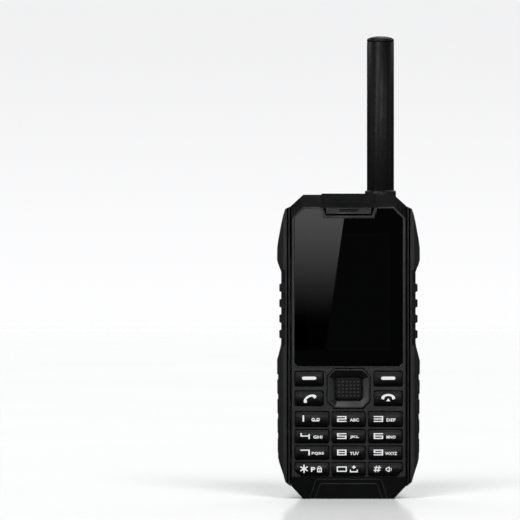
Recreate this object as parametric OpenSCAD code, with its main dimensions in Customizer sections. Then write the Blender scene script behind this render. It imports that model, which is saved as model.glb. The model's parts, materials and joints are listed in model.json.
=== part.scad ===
// Rugged satellite phone: hard shell in two halves, rubber side bumpers, keypad, display,
// screw-on antenna and a hinged battery cover with two captive lock screws.
// Millimetres. +Z up, +X to the viewer's right, the front faces -Y, and Z is 0 at the base.

/* [Overall] */
// Width of the hard shell between the bumpers
core_w = 51.6; // [50:0.1:64]
// Height of the body without its antenna
body_h = 136.4; // [135:0.1:166]
// Thickness from the key faces to the battery cover
body_t = 26; // [25.8:0.1:32]
// Height of the antenna tip above the body
antenna_rise = 71.6; // [45:0.1:90]

/* [Housings] */
// Wall of the sides of both housings
side_wall = 1.8; // [1.6:0.1:2]
// Wall behind the keys and under the display lens
front_wall = 2; // [1.9:0.1:2.2]
// Depth of the front housing from its face to the parting line
front_depth = 10.9; // [10.8:0.1:12]
// Width of the flat at the bottom end
base_flat_w = 40.6; // [38:0.1:43]
// Height of the bottom corner chamfers
base_chamfer_h = 6; // [4:0.1:7]
// Width of the flat at the top end
top_flat_w = 40.6; // [38:0.1:43]
// Height of the top corner chamfers
top_chamfer_h = 5; // [4:0.1:6]
// Height at which the chin starts to slope back
chin_h = 10.1; // [8:0.1:10.1]
// Distance that the chin slopes back
chin_back = 3.2; // [2:0.1:3.4]
// Height of the sloping brow above the display
brow_h = 5.9; // [5.5:0.1:6]
// Distance that the brow slopes back
brow_back = 4.2; // [3:0.1:5]
// Height that the raised brow badge stands out
badge_raise = 0.5; // [0.3:0.1:0.8]
// Width of the flat ledge outside the cut top corners of the lens
corner_ledge = 0.7; // [0.5:0.1:1]
// Width of the steep chamfer along both sides of the face
face_chamfer = 0.4; // [0.2:0.1:0.5]
// Step from the top of the front housing down to the rear one
rear_step = 2; // [1.5:0.1:2.5]

/* [Bumpers] */
// Stand-off of the bumper lobes from the hard shell
lobe_out = 6.2; // [5.6:0.1:7]
// Stand-off of the bumper waist from the hard shell
waist_out = 4.35; // [4.2:0.05:4.8]
// Stand-off of the ribs on the waist
rib_out = 5.2; // [5:0.1:5.4]
// Number of ribs on each waist
rib_count = 4; // [2:1:4]
// Distance between ribs
rib_pitch = 6.94; // [6:0.01:7]
// Number of grooves on each lower lobe
groove_count = 5; // [3:1:5]
// Distance between grooves
groove_pitch = 8.78; // [7:0.01:8.8]
// Height of a groove
groove_h = 2.6; // [2:0.1:3]
// Depth of a groove
groove_d = 0.45; // [0.3:0.05:0.7]

/* [Display] */
// Width of the display lens
lens_w = 48.6; // [46:0.1:49]
// Height of the display lens
lens_h = 70.6; // [68:0.1:70.8]
// Thickness of the display lens
lens_t = 1; // [0.7:0.1:1.2]
// Width of the picture
picture_w = 36.7; // [34:0.1:38]
// Height of the picture
picture_h = 49; // [45:0.1:50]
// Height of the picture above the bottom of the lens
picture_rise = 9.8; // [9:0.1:10.5]

/* [Keys] */
// Width of the outer number keys
key_side_w = 15.5; // [14:0.1:15.6]
// Width of the middle number keys
key_mid_w = 15.2; // [14:0.1:15.4]
// Height of the number keys
key_h = 6.3; // [5.5:0.1:6.5]
// Height of the top row of number keys
key_top_h = 6.9; // [6:0.1:7]
// Gap between neighbouring number keys
key_web = 1.05; // [0.9:0.05:1.3]
// Height of the bottom edge of the lowest keys
keypad_z = 10.35; // [10.3:0.05:11]
// Width of the soft, call and end keys
menu_w = 12.9; // [11:0.1:13]
// Height of the soft, call and end keys
menu_h = 6.9; // [6:0.1:7.2]
// Height of the centres of the call and end keys
call_z = 45.2; // [45:0.1:45.8]
// Height of the centres of the soft keys
soft_z = 54; // [53.6:0.1:54.2]
// How far the keys stand in front of the housing face
key_proud = 0.6; // [0.4:0.1:0.8]
// Travel of every key
key_travel = 0.45; // [0.3:0.05:0.5]
// Gap between a key and its opening
key_gap = 0.2; // [0.15:0.01:0.25]
// Width of the navigation ring
nav_w = 19.5; // [18:0.1:20]
// Height of the navigation ring
nav_h = 17.9; // [17:0.1:18.4]
// Width of the centre key
select_w = 11.8; // [10:0.1:12]
// Height of the centre key
select_h = 10; // [9:0.1:10.4]

/* [Battery] */
// Width of the battery pack
battery_w = 34.6; // [30:0.1:34.8]
// Height of the battery pack
battery_h = 62; // [50:0.1:62.4]
// Thickness of the battery pack
battery_t = 6; // [4:0.1:6.2]
// Depth of the battery cover
cover_t = 4; // [3.9:0.1:4.2]
// Height of the bottom edge of the battery cover
cover_z = 13; // [13:0.1:14]
// Diameter of the lock screw heads
lock_head_d = 6.8; // [5.6:0.1:8.2]
// Diameter of the lock screw shanks
lock_shank_d = 3; // [2.5:0.1:3.1]

/* [Antenna] */
// Distance of the antenna from the middle of the phone
antenna_x = 14.6; // [13.5:0.1:15]
// Distance of the antenna axis behind the parting line of the housings
antenna_back = 6; // [5.8:0.1:6.2]
// Diameter of the antenna tube
tube_d = 12.2; // [11:0.1:12.4]
// Wall of the antenna tube
tube_wall = 1.2; // [1:0.1:1.5]
// Height of the antenna cap
cap_h = 2.7; // [2:0.1:4]
// Diameter of the base collar
collar_d = 14; // [13.6:0.1:14.4]
// Height of the base collar
collar_h = 3.8; // [3.6:0.1:5]
// Diameter of the threaded stub
stub_d = 6.2; // [5.5:0.1:6.3]
// Length of the threaded stub
stub_l = 7.8; // [6:0.1:8]

/* [Mountings] */
// Diameter of the lanyard hole
lanyard_d = 2.8; // [2:0.1:3]
// Distance of the lanyard hole to the left of the middle
lanyard_x = 15.3; // [15:0.1:15.6]

/* [Hidden] */
$fn = 48;
corner_fn = 16;

// small overlap that lets a cut run cleanly through a face
cut = 1;
// clearance between parts that only sit beside each other
fit_gap = 0.1;
// clearance under a part that rests on another
seat_gap = 0.05;
// larger clearance for loose parts
loose_gap = 0.25;

// stack of faces from front to back
front_y = -body_t / 2;
back_y = body_t / 2;
face_y = front_y + key_proud;
parting_y = face_y + front_depth;
wall_y = face_y + front_wall;
rear_plane_y = back_y - cover_t;
hump_sink = 0.4;
hump_y = back_y - hump_sink;
lens_sink = 0.2;
lens_y = face_y + lens_sink;
lens_seat_y = lens_y + lens_t + seat_gap;
board_depth = 5;
board_y = face_y + board_depth;
board_t = 1;
board_back_y = board_y + board_t;
bay_floor_t = 1.4;
bay_slack = 0.6;
bay_floor_y = rear_plane_y - battery_t - bay_slack;
bay_wall_y = bay_floor_y - bay_floor_t;

// heights
lens_drop = 6.2;
lens_z = body_h - lens_drop - lens_h;
lens_top_z = lens_z + lens_h;
lens_low_clip = 1.7;
lens_top_clip = 4.3;
lens_gap = 0.15;
rear_top_z = body_h - rear_step;
hump_h = 29.6;
cover_gap = 0.3;
cover_top_z = body_h - hump_h;
hump_z = cover_top_z + cover_gap;
brow_z = body_h - brow_h;
foot_top_z = cover_z - cover_gap;

// six posts take the housing screws: two at the chin, two between keys and display, two at the top
post_x = [20.8, 21.3, 21.4];
post_z = [7.5, 60.3, body_h - 11.2];
post_r = 2.2;
screw_r = 1;
screw_bore_r = 1.05;
screw_head_r = 1.9;
screw_boss_r = screw_head_r + 1.1;
screw_head_h = 1.4;
screw_seat_y = parting_y + 2.5;
screw_tip_y = wall_y + 1.5;
screw_tip_gap = 0.3;
screw_hole_gap = 0.2;

// corner radius of the keys and their openings
key_corner = 1;
// chamfer on the outer lower corner of the star and hash keys
key_clip = 2.7;
// sagitta of the rounded key face
key_crown = 0.5;
key_base_y = face_y + 1.8;
stem_r = 1.4;
dome_r = 2.4;
dome_h = 0.35;
stem_tip_y = board_y - dome_h - key_travel - seat_gap;
membrane_y = face_y + 2.35;
membrane_t = 0.7;
membrane_hole_r = 1.8;
post_gap = 0.3;

// number key columns and rows
side_col_x = key_mid_w / 2 + key_web + key_side_w / 2;
row_z = [for (i = [0 : 3]) keypad_z + i * (key_h + key_web)];
menu_x = side_col_x + key_side_w / 2 - menu_w / 2;
nav_z = (call_z + soft_z) / 2 - 0.1;
nav_clip = 3.3;
nav_gap = 0.3;
nav_slope = 20;
nav_pivot_y = membrane_y + membrane_t / 2 - seat_gap;
nav_pad_w = 9.6;
nav_pad_h = 8;
nav_pad_t = 0.5;
nav_stem_x = nav_w / 2 - 2.15;
nav_stem_z = nav_h / 2 - 2.05;

// name, centre x, bottom z, width, height, clipped corner (-1 left, 1 right, 0 none)
KEYS = [
    ["key_star", -side_col_x, row_z[0], key_side_w, key_h, -1],
    ["key_0", 0, row_z[0], key_mid_w, key_h, 0],
    ["key_hash", side_col_x, row_z[0], key_side_w, key_h, 1],
    ["key_7", -side_col_x, row_z[1], key_side_w, key_h, 0],
    ["key_8", 0, row_z[1], key_mid_w, key_h, 0],
    ["key_9", side_col_x, row_z[1], key_side_w, key_h, 0],
    ["key_4", -side_col_x, row_z[2], key_side_w, key_h, 0],
    ["key_5", 0, row_z[2], key_mid_w, key_h, 0],
    ["key_6", side_col_x, row_z[2], key_side_w, key_h, 0],
    ["key_1", -side_col_x, row_z[3], key_side_w, key_top_h, 0],
    ["key_2", 0, row_z[3], key_mid_w, key_top_h, 0],
    ["key_3", side_col_x, row_z[3], key_side_w, key_top_h, 0],
    ["key_call", -menu_x, call_z - menu_h / 2, menu_w, menu_h, 0],
    ["key_end", menu_x, call_z - menu_h / 2, menu_w, menu_h, 0],
    ["key_soft_left", -menu_x, soft_z - menu_h / 2, menu_w, menu_h, 0],
    ["key_soft_right", menu_x, soft_z - menu_h / 2, menu_w, menu_h, 0]
];

// display module behind the lens
picture_z = lens_z + picture_rise;
module_w = picture_w + 5.9;
module_z = picture_z - 5.6;
module_h = picture_h + 9;
module_y = wall_y + fit_gap;
panel_t = 1.3;
frame_wall = 0.4;
frame_back_y = board_y - fit_gap;
window_gap = 0.3;

// earpiece: a trapezoid that fills a notch in the top edge of the lens
ear_w = 25;
ear_low_w = 22.4;
ear_h = 4.1;
ear_band = 0.9;
ear_groove = 1.15;
ear_slot_w = 18.2;
ear_slot_h = 1.5;
ear_slot_z = lens_top_z - 1.6;
ear_y = face_y - 0.1;
ear_top = 0.3;
ear_port_w = 8.8;
ear_port_r = 0.6;

// chin plate: wide at the base, in a pocket of the sloping chin
chin_low_w = 34.2;
chin_up_w = 28.4;
chin_plate_h = 8.55;
chin_pocket = 0.8;
chin_panel_low_w = 30.8;
chin_panel_up_w = 25.6;
chin_panel_h = 7.07;
chin_border = 0.35;

// bumpers, measured out from the side of the shell and back from the flat strip
strip_y = face_y + 1.5;
strip_back_y = back_y - 2.1;
strip_x = 3.6;
lobe_slope = 2.4;
ridge_x0 = 0.6;
ridge_x1 = 1.1;
ridge_back = 0.3;
gap_depth = 3.2;
gutter_x = 1.9;
gutter_depth = 2;
waist_z0 = 69.75;
waist_z1 = body_h - 34.7;
recess_x = 2.55;
recess_step = 1.5;
recess_slope = 1.7;
recess_flare = 3.5;
rib_root_h = 2.9;
rib_tip_h = 1.55;
rib_drop = 1.5;
rib_step = 0.6;
rib_slope = 2.3;
groove_z = 19.4;
recess_end = 0.75;
rib_sink = 0.3;
heel_x = 0.9;
heel_back = 0.8;

// outline of a bumper from the front: distance from the shell and height, at both ends of its waist
bumper_low_end = [
    [fit_gap, 5.6], [1.6, 6.75], [2.55, 7.65], [3.45, 10.8], [5.25, 16.2], [5.9, 19], [lobe_out, 62.1],
    [waist_out + 0.5, 67], [waist_out, waist_z0]
];
bumper_high_end = [
    [waist_out, waist_z1], [waist_out + 1.35, waist_z1 + 3.6], [lobe_out, waist_z1 + 5.4],
    [lobe_out - 0.05, body_h - 23.9], [lobe_out - 0.5, body_h - 20.3], [waist_out, body_h - 13.1],
    [3.45, body_h - 9], [2.55, body_h - 6.35], [fit_gap, body_h - 5.2]
];

// USB port and its flap at the bottom end
port_w = 7.6;
port_y0 = face_y + 6.05;
port_t = 2.5;
port_depth = 5.6;
flap_w = 10.6;
flap_t = 0.9;
flap_lift = 0.3;
flap_pivot_y = parting_y - 2;
flap_pivot_z = flap_lift + flap_t / 2;
flap_front_y = flap_pivot_y - 3.9;
flap_gap = 0.3;
plug_w = 6.8;
plug_t = 1.4;
plug_h = 0.7;
mic_x = 12;
mic_y = face_y + 7.2;
mic_r = 2;
mic_h = 1.6;
mic_hole_r = 0.6;
plug_back = 0.5;

// battery bay in the rear housing
bay_w = battery_w + 0.6;
bay_z = cover_z + 11.2;
bay_top_z = cover_top_z - 3.6;
battery_z = bay_z + 0.4;
contact_w = 10;
contact_h = 2.8;
contact_z = battery_z + battery_h + 0.4;
sim_w = 28;
sim_h = 12.5;
sim_t = 2;
sim_z = bay_top_z - 0.4 - sim_h;

// battery cover
cover_w = 48.8;
cover_skin = 1.8;
cover_side = 1.6;
cover_y = rear_plane_y + cover_gap;
hook_y = cover_y;
hook_t = 0.8;
hook_rise = 1.4;
hook_x0 = 9;
hook_x1 = 15;
hook_swing = 1.3;
hook_gap = 0.4;
hook_tip_gap = 0.6;
gasket_w = 1;
gasket_t = 0.9;
gasket_off = 0.4;
gasket_y = rear_plane_y + seat_gap;
lock_x = 17;
lock_z = cover_z + 6.7;
lock_floor_y = back_y - 1.9;
lock_head_y0 = lock_floor_y + 0.15;
lock_head_y1 = back_y - 0.1;
lock_tip_y = rear_plane_y - 3.5;
lock_bore_d = lock_shank_d + 0.3;
ring_wire_d = 1;
ring_r = lock_head_d / 2 + 0.2 + ring_wire_d / 2;
lock_pocket_r = ring_r + ring_wire_d / 2 + 0.6;
lock_boss_r = lock_pocket_r + 0.8;
ring_y = back_y - 0.8;
ring_pin_r = 0.45;
ring_hole_r = 0.5;
ring_pin_in = 1.1;

// shield cans, modem and patch antenna on the back of the main board
board_z = 4.6;
board_top_gap = 5.4;
low_can = [38, 2, 23];
low_can_z = 27;
high_can = [16.5, 2, 17];
high_can_x = 3;
high_can_z = body_h - 32;
modem = [32, 3.15, 28];
modem_z = 54;
patch_w = 18;
patch_t = 4;
patch_z = body_h - 32;
motor_x = -13;
motor_z = 17;
motor_r = 5;
motor_t = 2.7;

// loudspeaker behind the slots of the upper rear housing
speaker_x0 = -11.5;
speaker_w = 16;
speaker_h = 12;
speaker_t = 3.4;
speaker_z = body_h - 24;
hump_wall = 1.8;
hump_cave_z = hump_z + 4;
slot_count = 5;
slot_pitch = 2.2;
slot_h = 1.1;
slot_w = 12;

// lanyard tunnel: a straight hole at 45 degrees from the top face to the back face
lanyard_sum = hump_y + rear_top_z - 6.8;
lanyard_block = 3.8;
lanyard_half = 2.7;

// antenna
antenna_y = parting_y + antenna_back;
collar_z = rear_top_z + 0.3;
collar_gap = 0.3;
collar_floor = 1.5;
tube_z = collar_z + collar_floor;
tip_z = body_h + antenna_rise;
cap_z = tip_z - cap_h;
plug_flange_r = tube_d / 2 - tube_wall - 0.9;
plug_flange_h = 2.6;
former_r = 3;
former_wall = 0.8;
former_z = collar_z + 3;
former_end = 4;
strip_t = 0.3;
strip_angle = 34;
strip_count = 4;
strip_end = 4;
strip_z = former_z + strip_end;
strip_h = cap_z - former_end - strip_end / 2 - strip_z;
strip_twist = 270;
seal_r = 4.9;
seal_wire_r = 0.6;
socket_r = 4;
socket_depth = stub_l + 1;
socket_floor = 1;
socket_boss_r = 5;
thread_gap = 0.05;
edge_break = 0.3;

shell_black = [0.07, 0.07, 0.075];
rubber_black = [0.1, 0.1, 0.1];
key_black = [0.05, 0.05, 0.055];

// ---- helpers ----

// a shape drawn in X and Z, made solid from y0 back to y1
module in_depth(y0, y1) {
    translate([0, y1, 0]) rotate([90, 0, 0]) linear_extrude(y1 - y0) children();
}

// a shape drawn in Y and Z, made solid from x0 to x1
module across(x0, x1) {
    translate([x0, 0, 0]) rotate([90, 0, 90]) linear_extrude(x1 - x0) children();
}

// a box between two corners
module block(x0, x1, y0, y1, z0, z1) {
    translate([x0, y0, z0]) cube([x1 - x0, y1 - y0, z1 - z0]);
}

// a round bar along Y
module post(x, z, r, y0, y1) {
    translate([x, y0, z]) rotate([-90, 0, 0]) cylinder(r = r, h = y1 - y0);
}

// a rectangle with rounded corners, centred in X, standing on z
module soft_rect(x, z, w, h, r) {
    translate([x, z + h / 2]) offset(r = r, $fn = corner_fn) square([w - 2 * r, h - 2 * r], center = true);
}

// a trapezoid centred on X
module trapezoid(low_w, z0, up_w, z1) {
    polygon([[-low_w / 2, z0], [low_w / 2, z0], [up_w / 2, z1], [-up_w / 2, z1]]);
}

// front view of the hard shell, drawn in by inset
module core_outline(inset) {
    offset(delta = -inset) polygon([
        [-base_flat_w / 2, 0], [base_flat_w / 2, 0], [core_w / 2, base_chamfer_h],
        [core_w / 2, body_h - top_chamfer_h], [top_flat_w / 2, body_h],
        [-top_flat_w / 2, body_h], [-core_w / 2, body_h - top_chamfer_h], [-core_w / 2, base_chamfer_h]
    ]);
}

// side view of the front housing; extra runs it past the parting line
module front_profile(extra) {
    polygon([
        [face_y, chin_h], [face_y + chin_back, 0], [parting_y + extra, 0],
        [parting_y + extra, body_h], [face_y + brow_back, body_h], [face_y, brow_z]
    ]);
}

// side view of the rear housing, with the seat of the battery cover
module rear_profile() {
    foot_back = 2.8;
    hump_edge = 1.2;
    polygon([
        [parting_y, 0], [hump_y - foot_back, 0], [hump_y, foot_back], [hump_y, foot_top_z],
        [rear_plane_y, foot_top_z], [rear_plane_y, hump_z],
        [hump_y, hump_z + hump_y - rear_plane_y], [hump_y, rear_top_z - hump_edge],
        [hump_y - hump_edge, rear_top_z], [parting_y, rear_top_z]
    ]);
}

// front view of the rear housing, which ends lower than the front one
module rear_outline(inset) {
    intersection() {
        core_outline(inset);
        translate([-core_w, inset]) square([2 * core_w, rear_top_z - 2 * inset]);
    }
}

// band of width w that runs along the middle of the side walls
module seal_path(w) {
    difference() {
        rear_outline((side_wall - w) / 2);
        rear_outline((side_wall + w) / 2);
    }
}

module at_posts() {
    for (i = [0 : 2]) {
        for (side = [-1, 1]) {
            translate([side * post_x[i], 0, post_z[i]]) children();
        }
    }
}

module key_outline(k, grow) {
    offset(delta = grow) difference() {
        soft_rect(k[1], k[2], k[3], k[4], key_corner);
        if (k[5] != 0) {
            translate([k[1] + k[5] * k[3] / 2, k[2]]) rotate(45)
                square(key_clip * sqrt(2), center = true);
        }
    }
}

module octagon(w, h, clip) {
    polygon([
        [-w / 2 + clip, -h / 2], [w / 2 - clip, -h / 2], [w / 2, -h / 2 + clip], [w / 2, h / 2 - clip],
        [w / 2 - clip, h / 2], [-w / 2 + clip, h / 2], [-w / 2, h / 2 - clip], [-w / 2, -h / 2 + clip]
    ]);
}

module nav_outline(grow) {
    // share of grow that keeps the slanted sides parallel
    slant = 2 - sqrt(2);
    translate([0, nav_z]) octagon(nav_w + 2 * grow, nav_h + 2 * grow, nav_clip + slant * grow);
}

module lens_outline(grow) {
    offset(delta = grow) polygon([
        [lens_low_clip - lens_w / 2, lens_z], [lens_w / 2 - lens_low_clip, lens_z],
        [lens_w / 2, lens_z + lens_low_clip], [lens_w / 2, lens_top_z - lens_top_clip],
        [lens_w / 2 - lens_top_clip, lens_top_z], [lens_top_clip - lens_w / 2, lens_top_z],
        [-lens_w / 2, lens_top_z - lens_top_clip], [-lens_w / 2, lens_z + lens_low_clip]
    ]);
}

// what the sloping corners beside the brow take off the face, moved back by depth
module corner_slopes(depth) {
    reach = 12;
    lean = brow_back / brow_h;
    low_y = front_y - cut;
    for (side = [-1, 1]) {
        translate([side * (lens_w / 2 - lens_top_clip), depth, lens_top_z]) rotate([0, side * 45, 0])
            across(-reach, reach) polygon([
                [low_y, corner_ledge], [face_y, corner_ledge],
                [face_y + reach * lean, corner_ledge + reach], [low_y, corner_ledge + reach]
            ]);
    }
}

// the outline of the chin plate from z0 up, drawn in by inset; its sides keep their slope below z 0
module chin_outline(z0, inset) {
    lean = (chin_low_w - chin_up_w) / chin_plate_h;
    trapezoid(chin_low_w - 2 * inset - z0 * lean, z0, chin_up_w - 2 * inset + inset * lean,
        chin_plate_h - inset);
}

// the earpiece trapezoid, drawn in by inset on every side but the top
module ear_outline(inset) {
    trapezoid(ear_low_w - 2 * inset, lens_top_z - ear_h + inset, ear_w - 2 * inset, lens_top_z + ear_top);
}

// what lies in front of the sloping front once it is moved back by depth
module outside_front(depth) {
    difference() {
        block(-core_w, core_w, front_y - cut, parting_y, -cut, body_h + cut);
        across(-core_w - cut, core_w + cut) translate([depth, 0]) front_profile(cut);
        block(-core_w - cut, core_w + cut, front_y - 2 * cut, parting_y + cut, -2 * cut, 0);
    }
}

// the front housing from above, with a steep chamfer along both sides of the face
module face_section() {
    steepness = 2.5;
    edge_x = core_w / 2 - face_chamfer;
    edge_y = face_y + steepness * face_chamfer;
    linear_extrude(body_h) polygon([
        [-core_w / 2, parting_y], [-core_w / 2, edge_y], [-edge_x, face_y],
        [edge_x, face_y], [core_w / 2, edge_y], [core_w / 2, parting_y]
    ]);
}

// ---- housings ----

// side view of the raised badge, which grows out of the brow
module badge_profile() {
    skin = front_wall / 2;
    badge_back_y = parting_y - 2;
    polygon([
        [face_y, brow_z], [face_y + brow_back - 2 * badge_raise, body_h + badge_raise],
        [badge_back_y, body_h + badge_raise], [badge_back_y, body_h - skin],
        [face_y + brow_back + skin, body_h - skin], [face_y + skin, brow_z]
    ]);
}

module front_housing() {
    badge_low_w = 21.6;
    badge_up_w = 24.4;
    color(shell_black) difference() {
        union() {
            difference() {
                intersection() {
                    in_depth(face_y, parting_y) core_outline(0);
                    across(-core_w, core_w) front_profile(0);
                    face_section();
                }
                difference() {
                    intersection() {
                        in_depth(face_y, parting_y + cut) core_outline(side_wall);
                        across(-core_w, core_w) offset(delta = -front_wall) front_profile(front_wall + cut);
                        block(-core_w, core_w, face_y, parting_y + cut, 0, rear_top_z - side_wall);
                    }
                    corner_slopes(front_wall);
                }
                corner_slopes(0);
            }
            intersection() {
                in_depth(face_y, parting_y) trapezoid(badge_low_w, brow_z, badge_up_w, body_h + badge_raise);
                across(-core_w, core_w) badge_profile();
            }
            at_posts() post(0, 0, post_r, wall_y - 2 * fit_gap, parting_y);
        }
        at_posts() post(0, 0, screw_bore_r, screw_tip_y - screw_tip_gap, parting_y + cut);
        for (k = KEYS) {
            in_depth(face_y - cut, wall_y + cut) key_outline(k, key_gap);
        }
        in_depth(face_y - cut, wall_y + cut) nav_outline(nav_gap);
        in_depth(face_y - cut, lens_seat_y) union() {
            lens_outline(lens_gap);
            ear_outline(-fit_gap);
        }
        in_depth(lens_seat_y - cut, wall_y + cut) translate([0, picture_z + picture_h / 2])
            square([picture_w + 2 * window_gap, picture_h + 2 * window_gap], center = true);
        in_depth(lens_seat_y - cut, wall_y + cut)
            soft_rect(0, ear_slot_z, ear_port_w, ear_slot_h, ear_port_r);
        intersection() {
            in_depth(front_y - cut, parting_y - cut) chin_outline(-cut, 0);
            outside_front(chin_pocket);
        }
        block(-flap_w / 2 - flap_gap, flap_w / 2 + flap_gap, flap_front_y - flap_gap,
            flap_pivot_y + flap_t / 2 + flap_gap, -cut, flap_lift + flap_t + fit_gap);
        block(-port_w / 2, port_w / 2, port_y0 - fit_gap, port_y0 + port_t + 2 * fit_gap, 0,
            front_wall + cut);
        translate([mic_x, mic_y, -cut]) cylinder(r = mic_hole_r, h = front_wall + 2 * cut);
        at_antenna(rear_top_z) cylinder(d = collar_d + 2 * collar_gap, h = 2 * rear_step);
    }
}

module rear_housing() {
    pocket_x0 = bay_w / 2 + 1.8;
    pocket_x1 = core_w / 2 - side_wall;
    pocket_back_y = rear_plane_y - side_wall;
    pocket_low = 4;
    pocket_clear = 4.5;
    groove_w = 0.9;
    seal_d = 0.8;
    bay_side = [
        [bay_z + pocket_low, post_z[1] - pocket_clear], [post_z[1] + pocket_clear, bay_top_z]
    ];
    color(shell_black) difference() {
        union() {
            difference() {
                intersection() {
                    in_depth(parting_y, hump_y) core_outline(0);
                    across(-core_w, core_w) rear_profile();
                }
                intersection() {
                    in_depth(parting_y - cut, bay_wall_y) core_outline(side_wall);
                    block(-core_w, core_w, parting_y - cut, bay_wall_y, side_wall, rear_top_z - side_wall);
                }
                difference() {
                    intersection() {
                        in_depth(parting_y - cut, hump_y - hump_wall) core_outline(side_wall);
                        block(-core_w, core_w, parting_y - cut, hump_y - hump_wall, hump_cave_z,
                            rear_top_z - side_wall);
                    }
                    across(-lanyard_x - lanyard_half, lanyard_half - lanyard_x) polygon([
                        [lanyard_sum - lanyard_block - rear_top_z, rear_top_z],
                        [hump_y, lanyard_sum - lanyard_block - hump_y], [hump_y, rear_top_z]
                    ]);
                }
                for (side = [-1, 1]) {
                    for (span = bay_side) {
                        translate([side * (pocket_x0 + pocket_x1) / 2, 0, 0])
                            block(-(pocket_x1 - pocket_x0) / 2, (pocket_x1 - pocket_x0) / 2,
                                bay_wall_y - cut, pocket_back_y, span[0], span[1]);
                    }
                }
            }
            at_posts() post(0, 0, screw_boss_r, parting_y, rear_plane_y);
            for (side = [-1, 1]) {
                post(side * post_x[2], post_z[2], screw_boss_r, parting_y, hump_y);
            }
            translate([antenna_x, antenna_y, rear_top_z - socket_depth - socket_floor])
                cylinder(r = socket_boss_r, h = socket_depth + socket_floor);
        }
        in_depth(bay_floor_y, back_y)
            translate([0, (bay_z + bay_top_z) / 2]) square([bay_w, bay_top_z - bay_z], center = true);
        block(-contact_w / 2 - fit_gap, contact_w / 2 + fit_gap, bay_wall_y - cut, bay_floor_y + cut,
            contact_z - fit_gap, contact_z + contact_h + fit_gap);
        at_posts() post(0, 0, screw_r + screw_hole_gap, parting_y - cut, back_y);
        at_posts() post(0, 0, screw_head_r + screw_hole_gap, screw_seat_y, back_y + cut);
        for (side = [-1, 1]) {
            post(side * lock_x, lock_z, lock_bore_d / 2, lock_tip_y - hook_gap, back_y);
            hook_mid = side * (hook_x0 + hook_x1) / 2;
            hook_half = (hook_x1 - hook_x0) / 2 + loose_gap;
            block(hook_mid - hook_half, hook_mid + hook_half, hook_y - hook_swing, hook_y + hook_t + hook_gap,
                cover_top_z - cut, cover_top_z + hook_rise + hook_tip_gap);
        }
        for (i = [0 : slot_count - 1]) {
            in_depth(hump_y - hump_wall - cut, back_y)
                soft_rect(speaker_x0 + speaker_w / 2, speaker_z + speaker_h / 2 - slot_h / 2
                    + (i - (slot_count - 1) / 2) * slot_pitch, slot_w, slot_h, slot_h / 2 - 0.01);
        }
        translate([antenna_x, antenna_y, rear_top_z - socket_depth])
            cylinder(r = socket_r + thread_gap, h = socket_depth + cut);
        translate([-lanyard_x, lanyard_sum - rear_top_z, rear_top_z]) rotate([-135, 0, 0])
            translate([0, 0, -4 * lanyard_d]) cylinder(d = lanyard_d, h = 8 * lanyard_d);
        in_depth(parting_y - cut, parting_y + seal_d) seal_path(groove_w);
    }
}

module housing_seal() {
    seal_w = 0.8;
    seal_h = 0.7;
    color("dimgray") in_depth(parting_y + seat_gap, parting_y + seat_gap + seal_h) seal_path(seal_w);
}

module housing_screws() {
    socket_w = 1.2;
    socket_d = 0.8;
    color("silver") at_posts() difference() {
        union() {
            post(0, 0, screw_head_r, screw_seat_y, screw_seat_y + screw_head_h);
            post(0, 0, screw_r, screw_tip_y, screw_seat_y);
        }
        for (turn = [0, 90]) {
            translate([0, screw_seat_y + screw_head_h, 0]) rotate([0, turn, 0])
                cube([2 * socket_w, 2 * socket_d, socket_w / 2], center = true);
        }
    }
}

// ---- bumpers ----

// the outer skin of the right bumper from above, measured out from the shell and drawn in by depth
function bumper_flank(depth) = [
    [strip_x - depth, strip_y], [lobe_out - depth, strip_y + lobe_slope],
    [lobe_out - depth, strip_back_y - lobe_slope], [strip_x - depth, strip_back_y]
];

// the whole section in the same view: a deep gap, a thin ridge, a groove, the flat strip and the flank
module bumper_section() {
    polygon(concat(
        [[fit_gap, strip_y + gap_depth], [ridge_x0, strip_y + ridge_back], [ridge_x1, strip_y + ridge_back],
            [(ridge_x1 + gutter_x) / 2, strip_y + gutter_depth], [gutter_x, strip_y]],
        bumper_flank(0),
        [[heel_x, strip_back_y], [fit_gap, strip_back_y - heel_back]]
    ));
}

// front view of the right bumper, measured out from the side of the shell
module bumper_outline() {
    polygon(concat(bumper_low_end, bumper_high_end));
}

// the two steep recesses of the waist, at the front and at the back
module waist_recesses() {
    reach = lobe_out + cut - recess_x;
    for (turn = [0, 1]) {
        intersection() {
            in_depth(front_y - cut, back_y + cut) polygon([
                [recess_x, waist_z0 - recess_end], [recess_x + reach, waist_z0 - recess_flare],
                [recess_x + reach, waist_z1 + recess_flare], [recess_x, waist_z1 + recess_end]
            ]);
            translate([0, turn * (strip_y + strip_back_y), 0]) mirror([0, turn, 0])
                linear_extrude(body_h) polygon([
                    [recess_x, front_y - cut], [recess_x + reach, front_y - cut],
                    [recess_x + reach, strip_y + recess_step + recess_slope * reach],
                    [recess_x, strip_y + recess_step]
                ]);
        }
    }
}

module waist_rib() {
    root_x = recess_x - rib_sink;
    intersection() {
        in_depth(front_y, back_y) polygon([
            [root_x, -rib_root_h], [rib_out, -rib_tip_h], [rib_out, rib_tip_h], [root_x, rib_root_h]
        ]);
        translate([0, 0, -rib_root_h]) linear_extrude(2 * rib_root_h) polygon([
            [root_x, strip_y + rib_step], [rib_out, strip_y + rib_step + rib_slope],
            [rib_out, strip_back_y - rib_step - rib_slope], [root_x, strip_back_y - rib_step]
        ]);
    }
}

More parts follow.
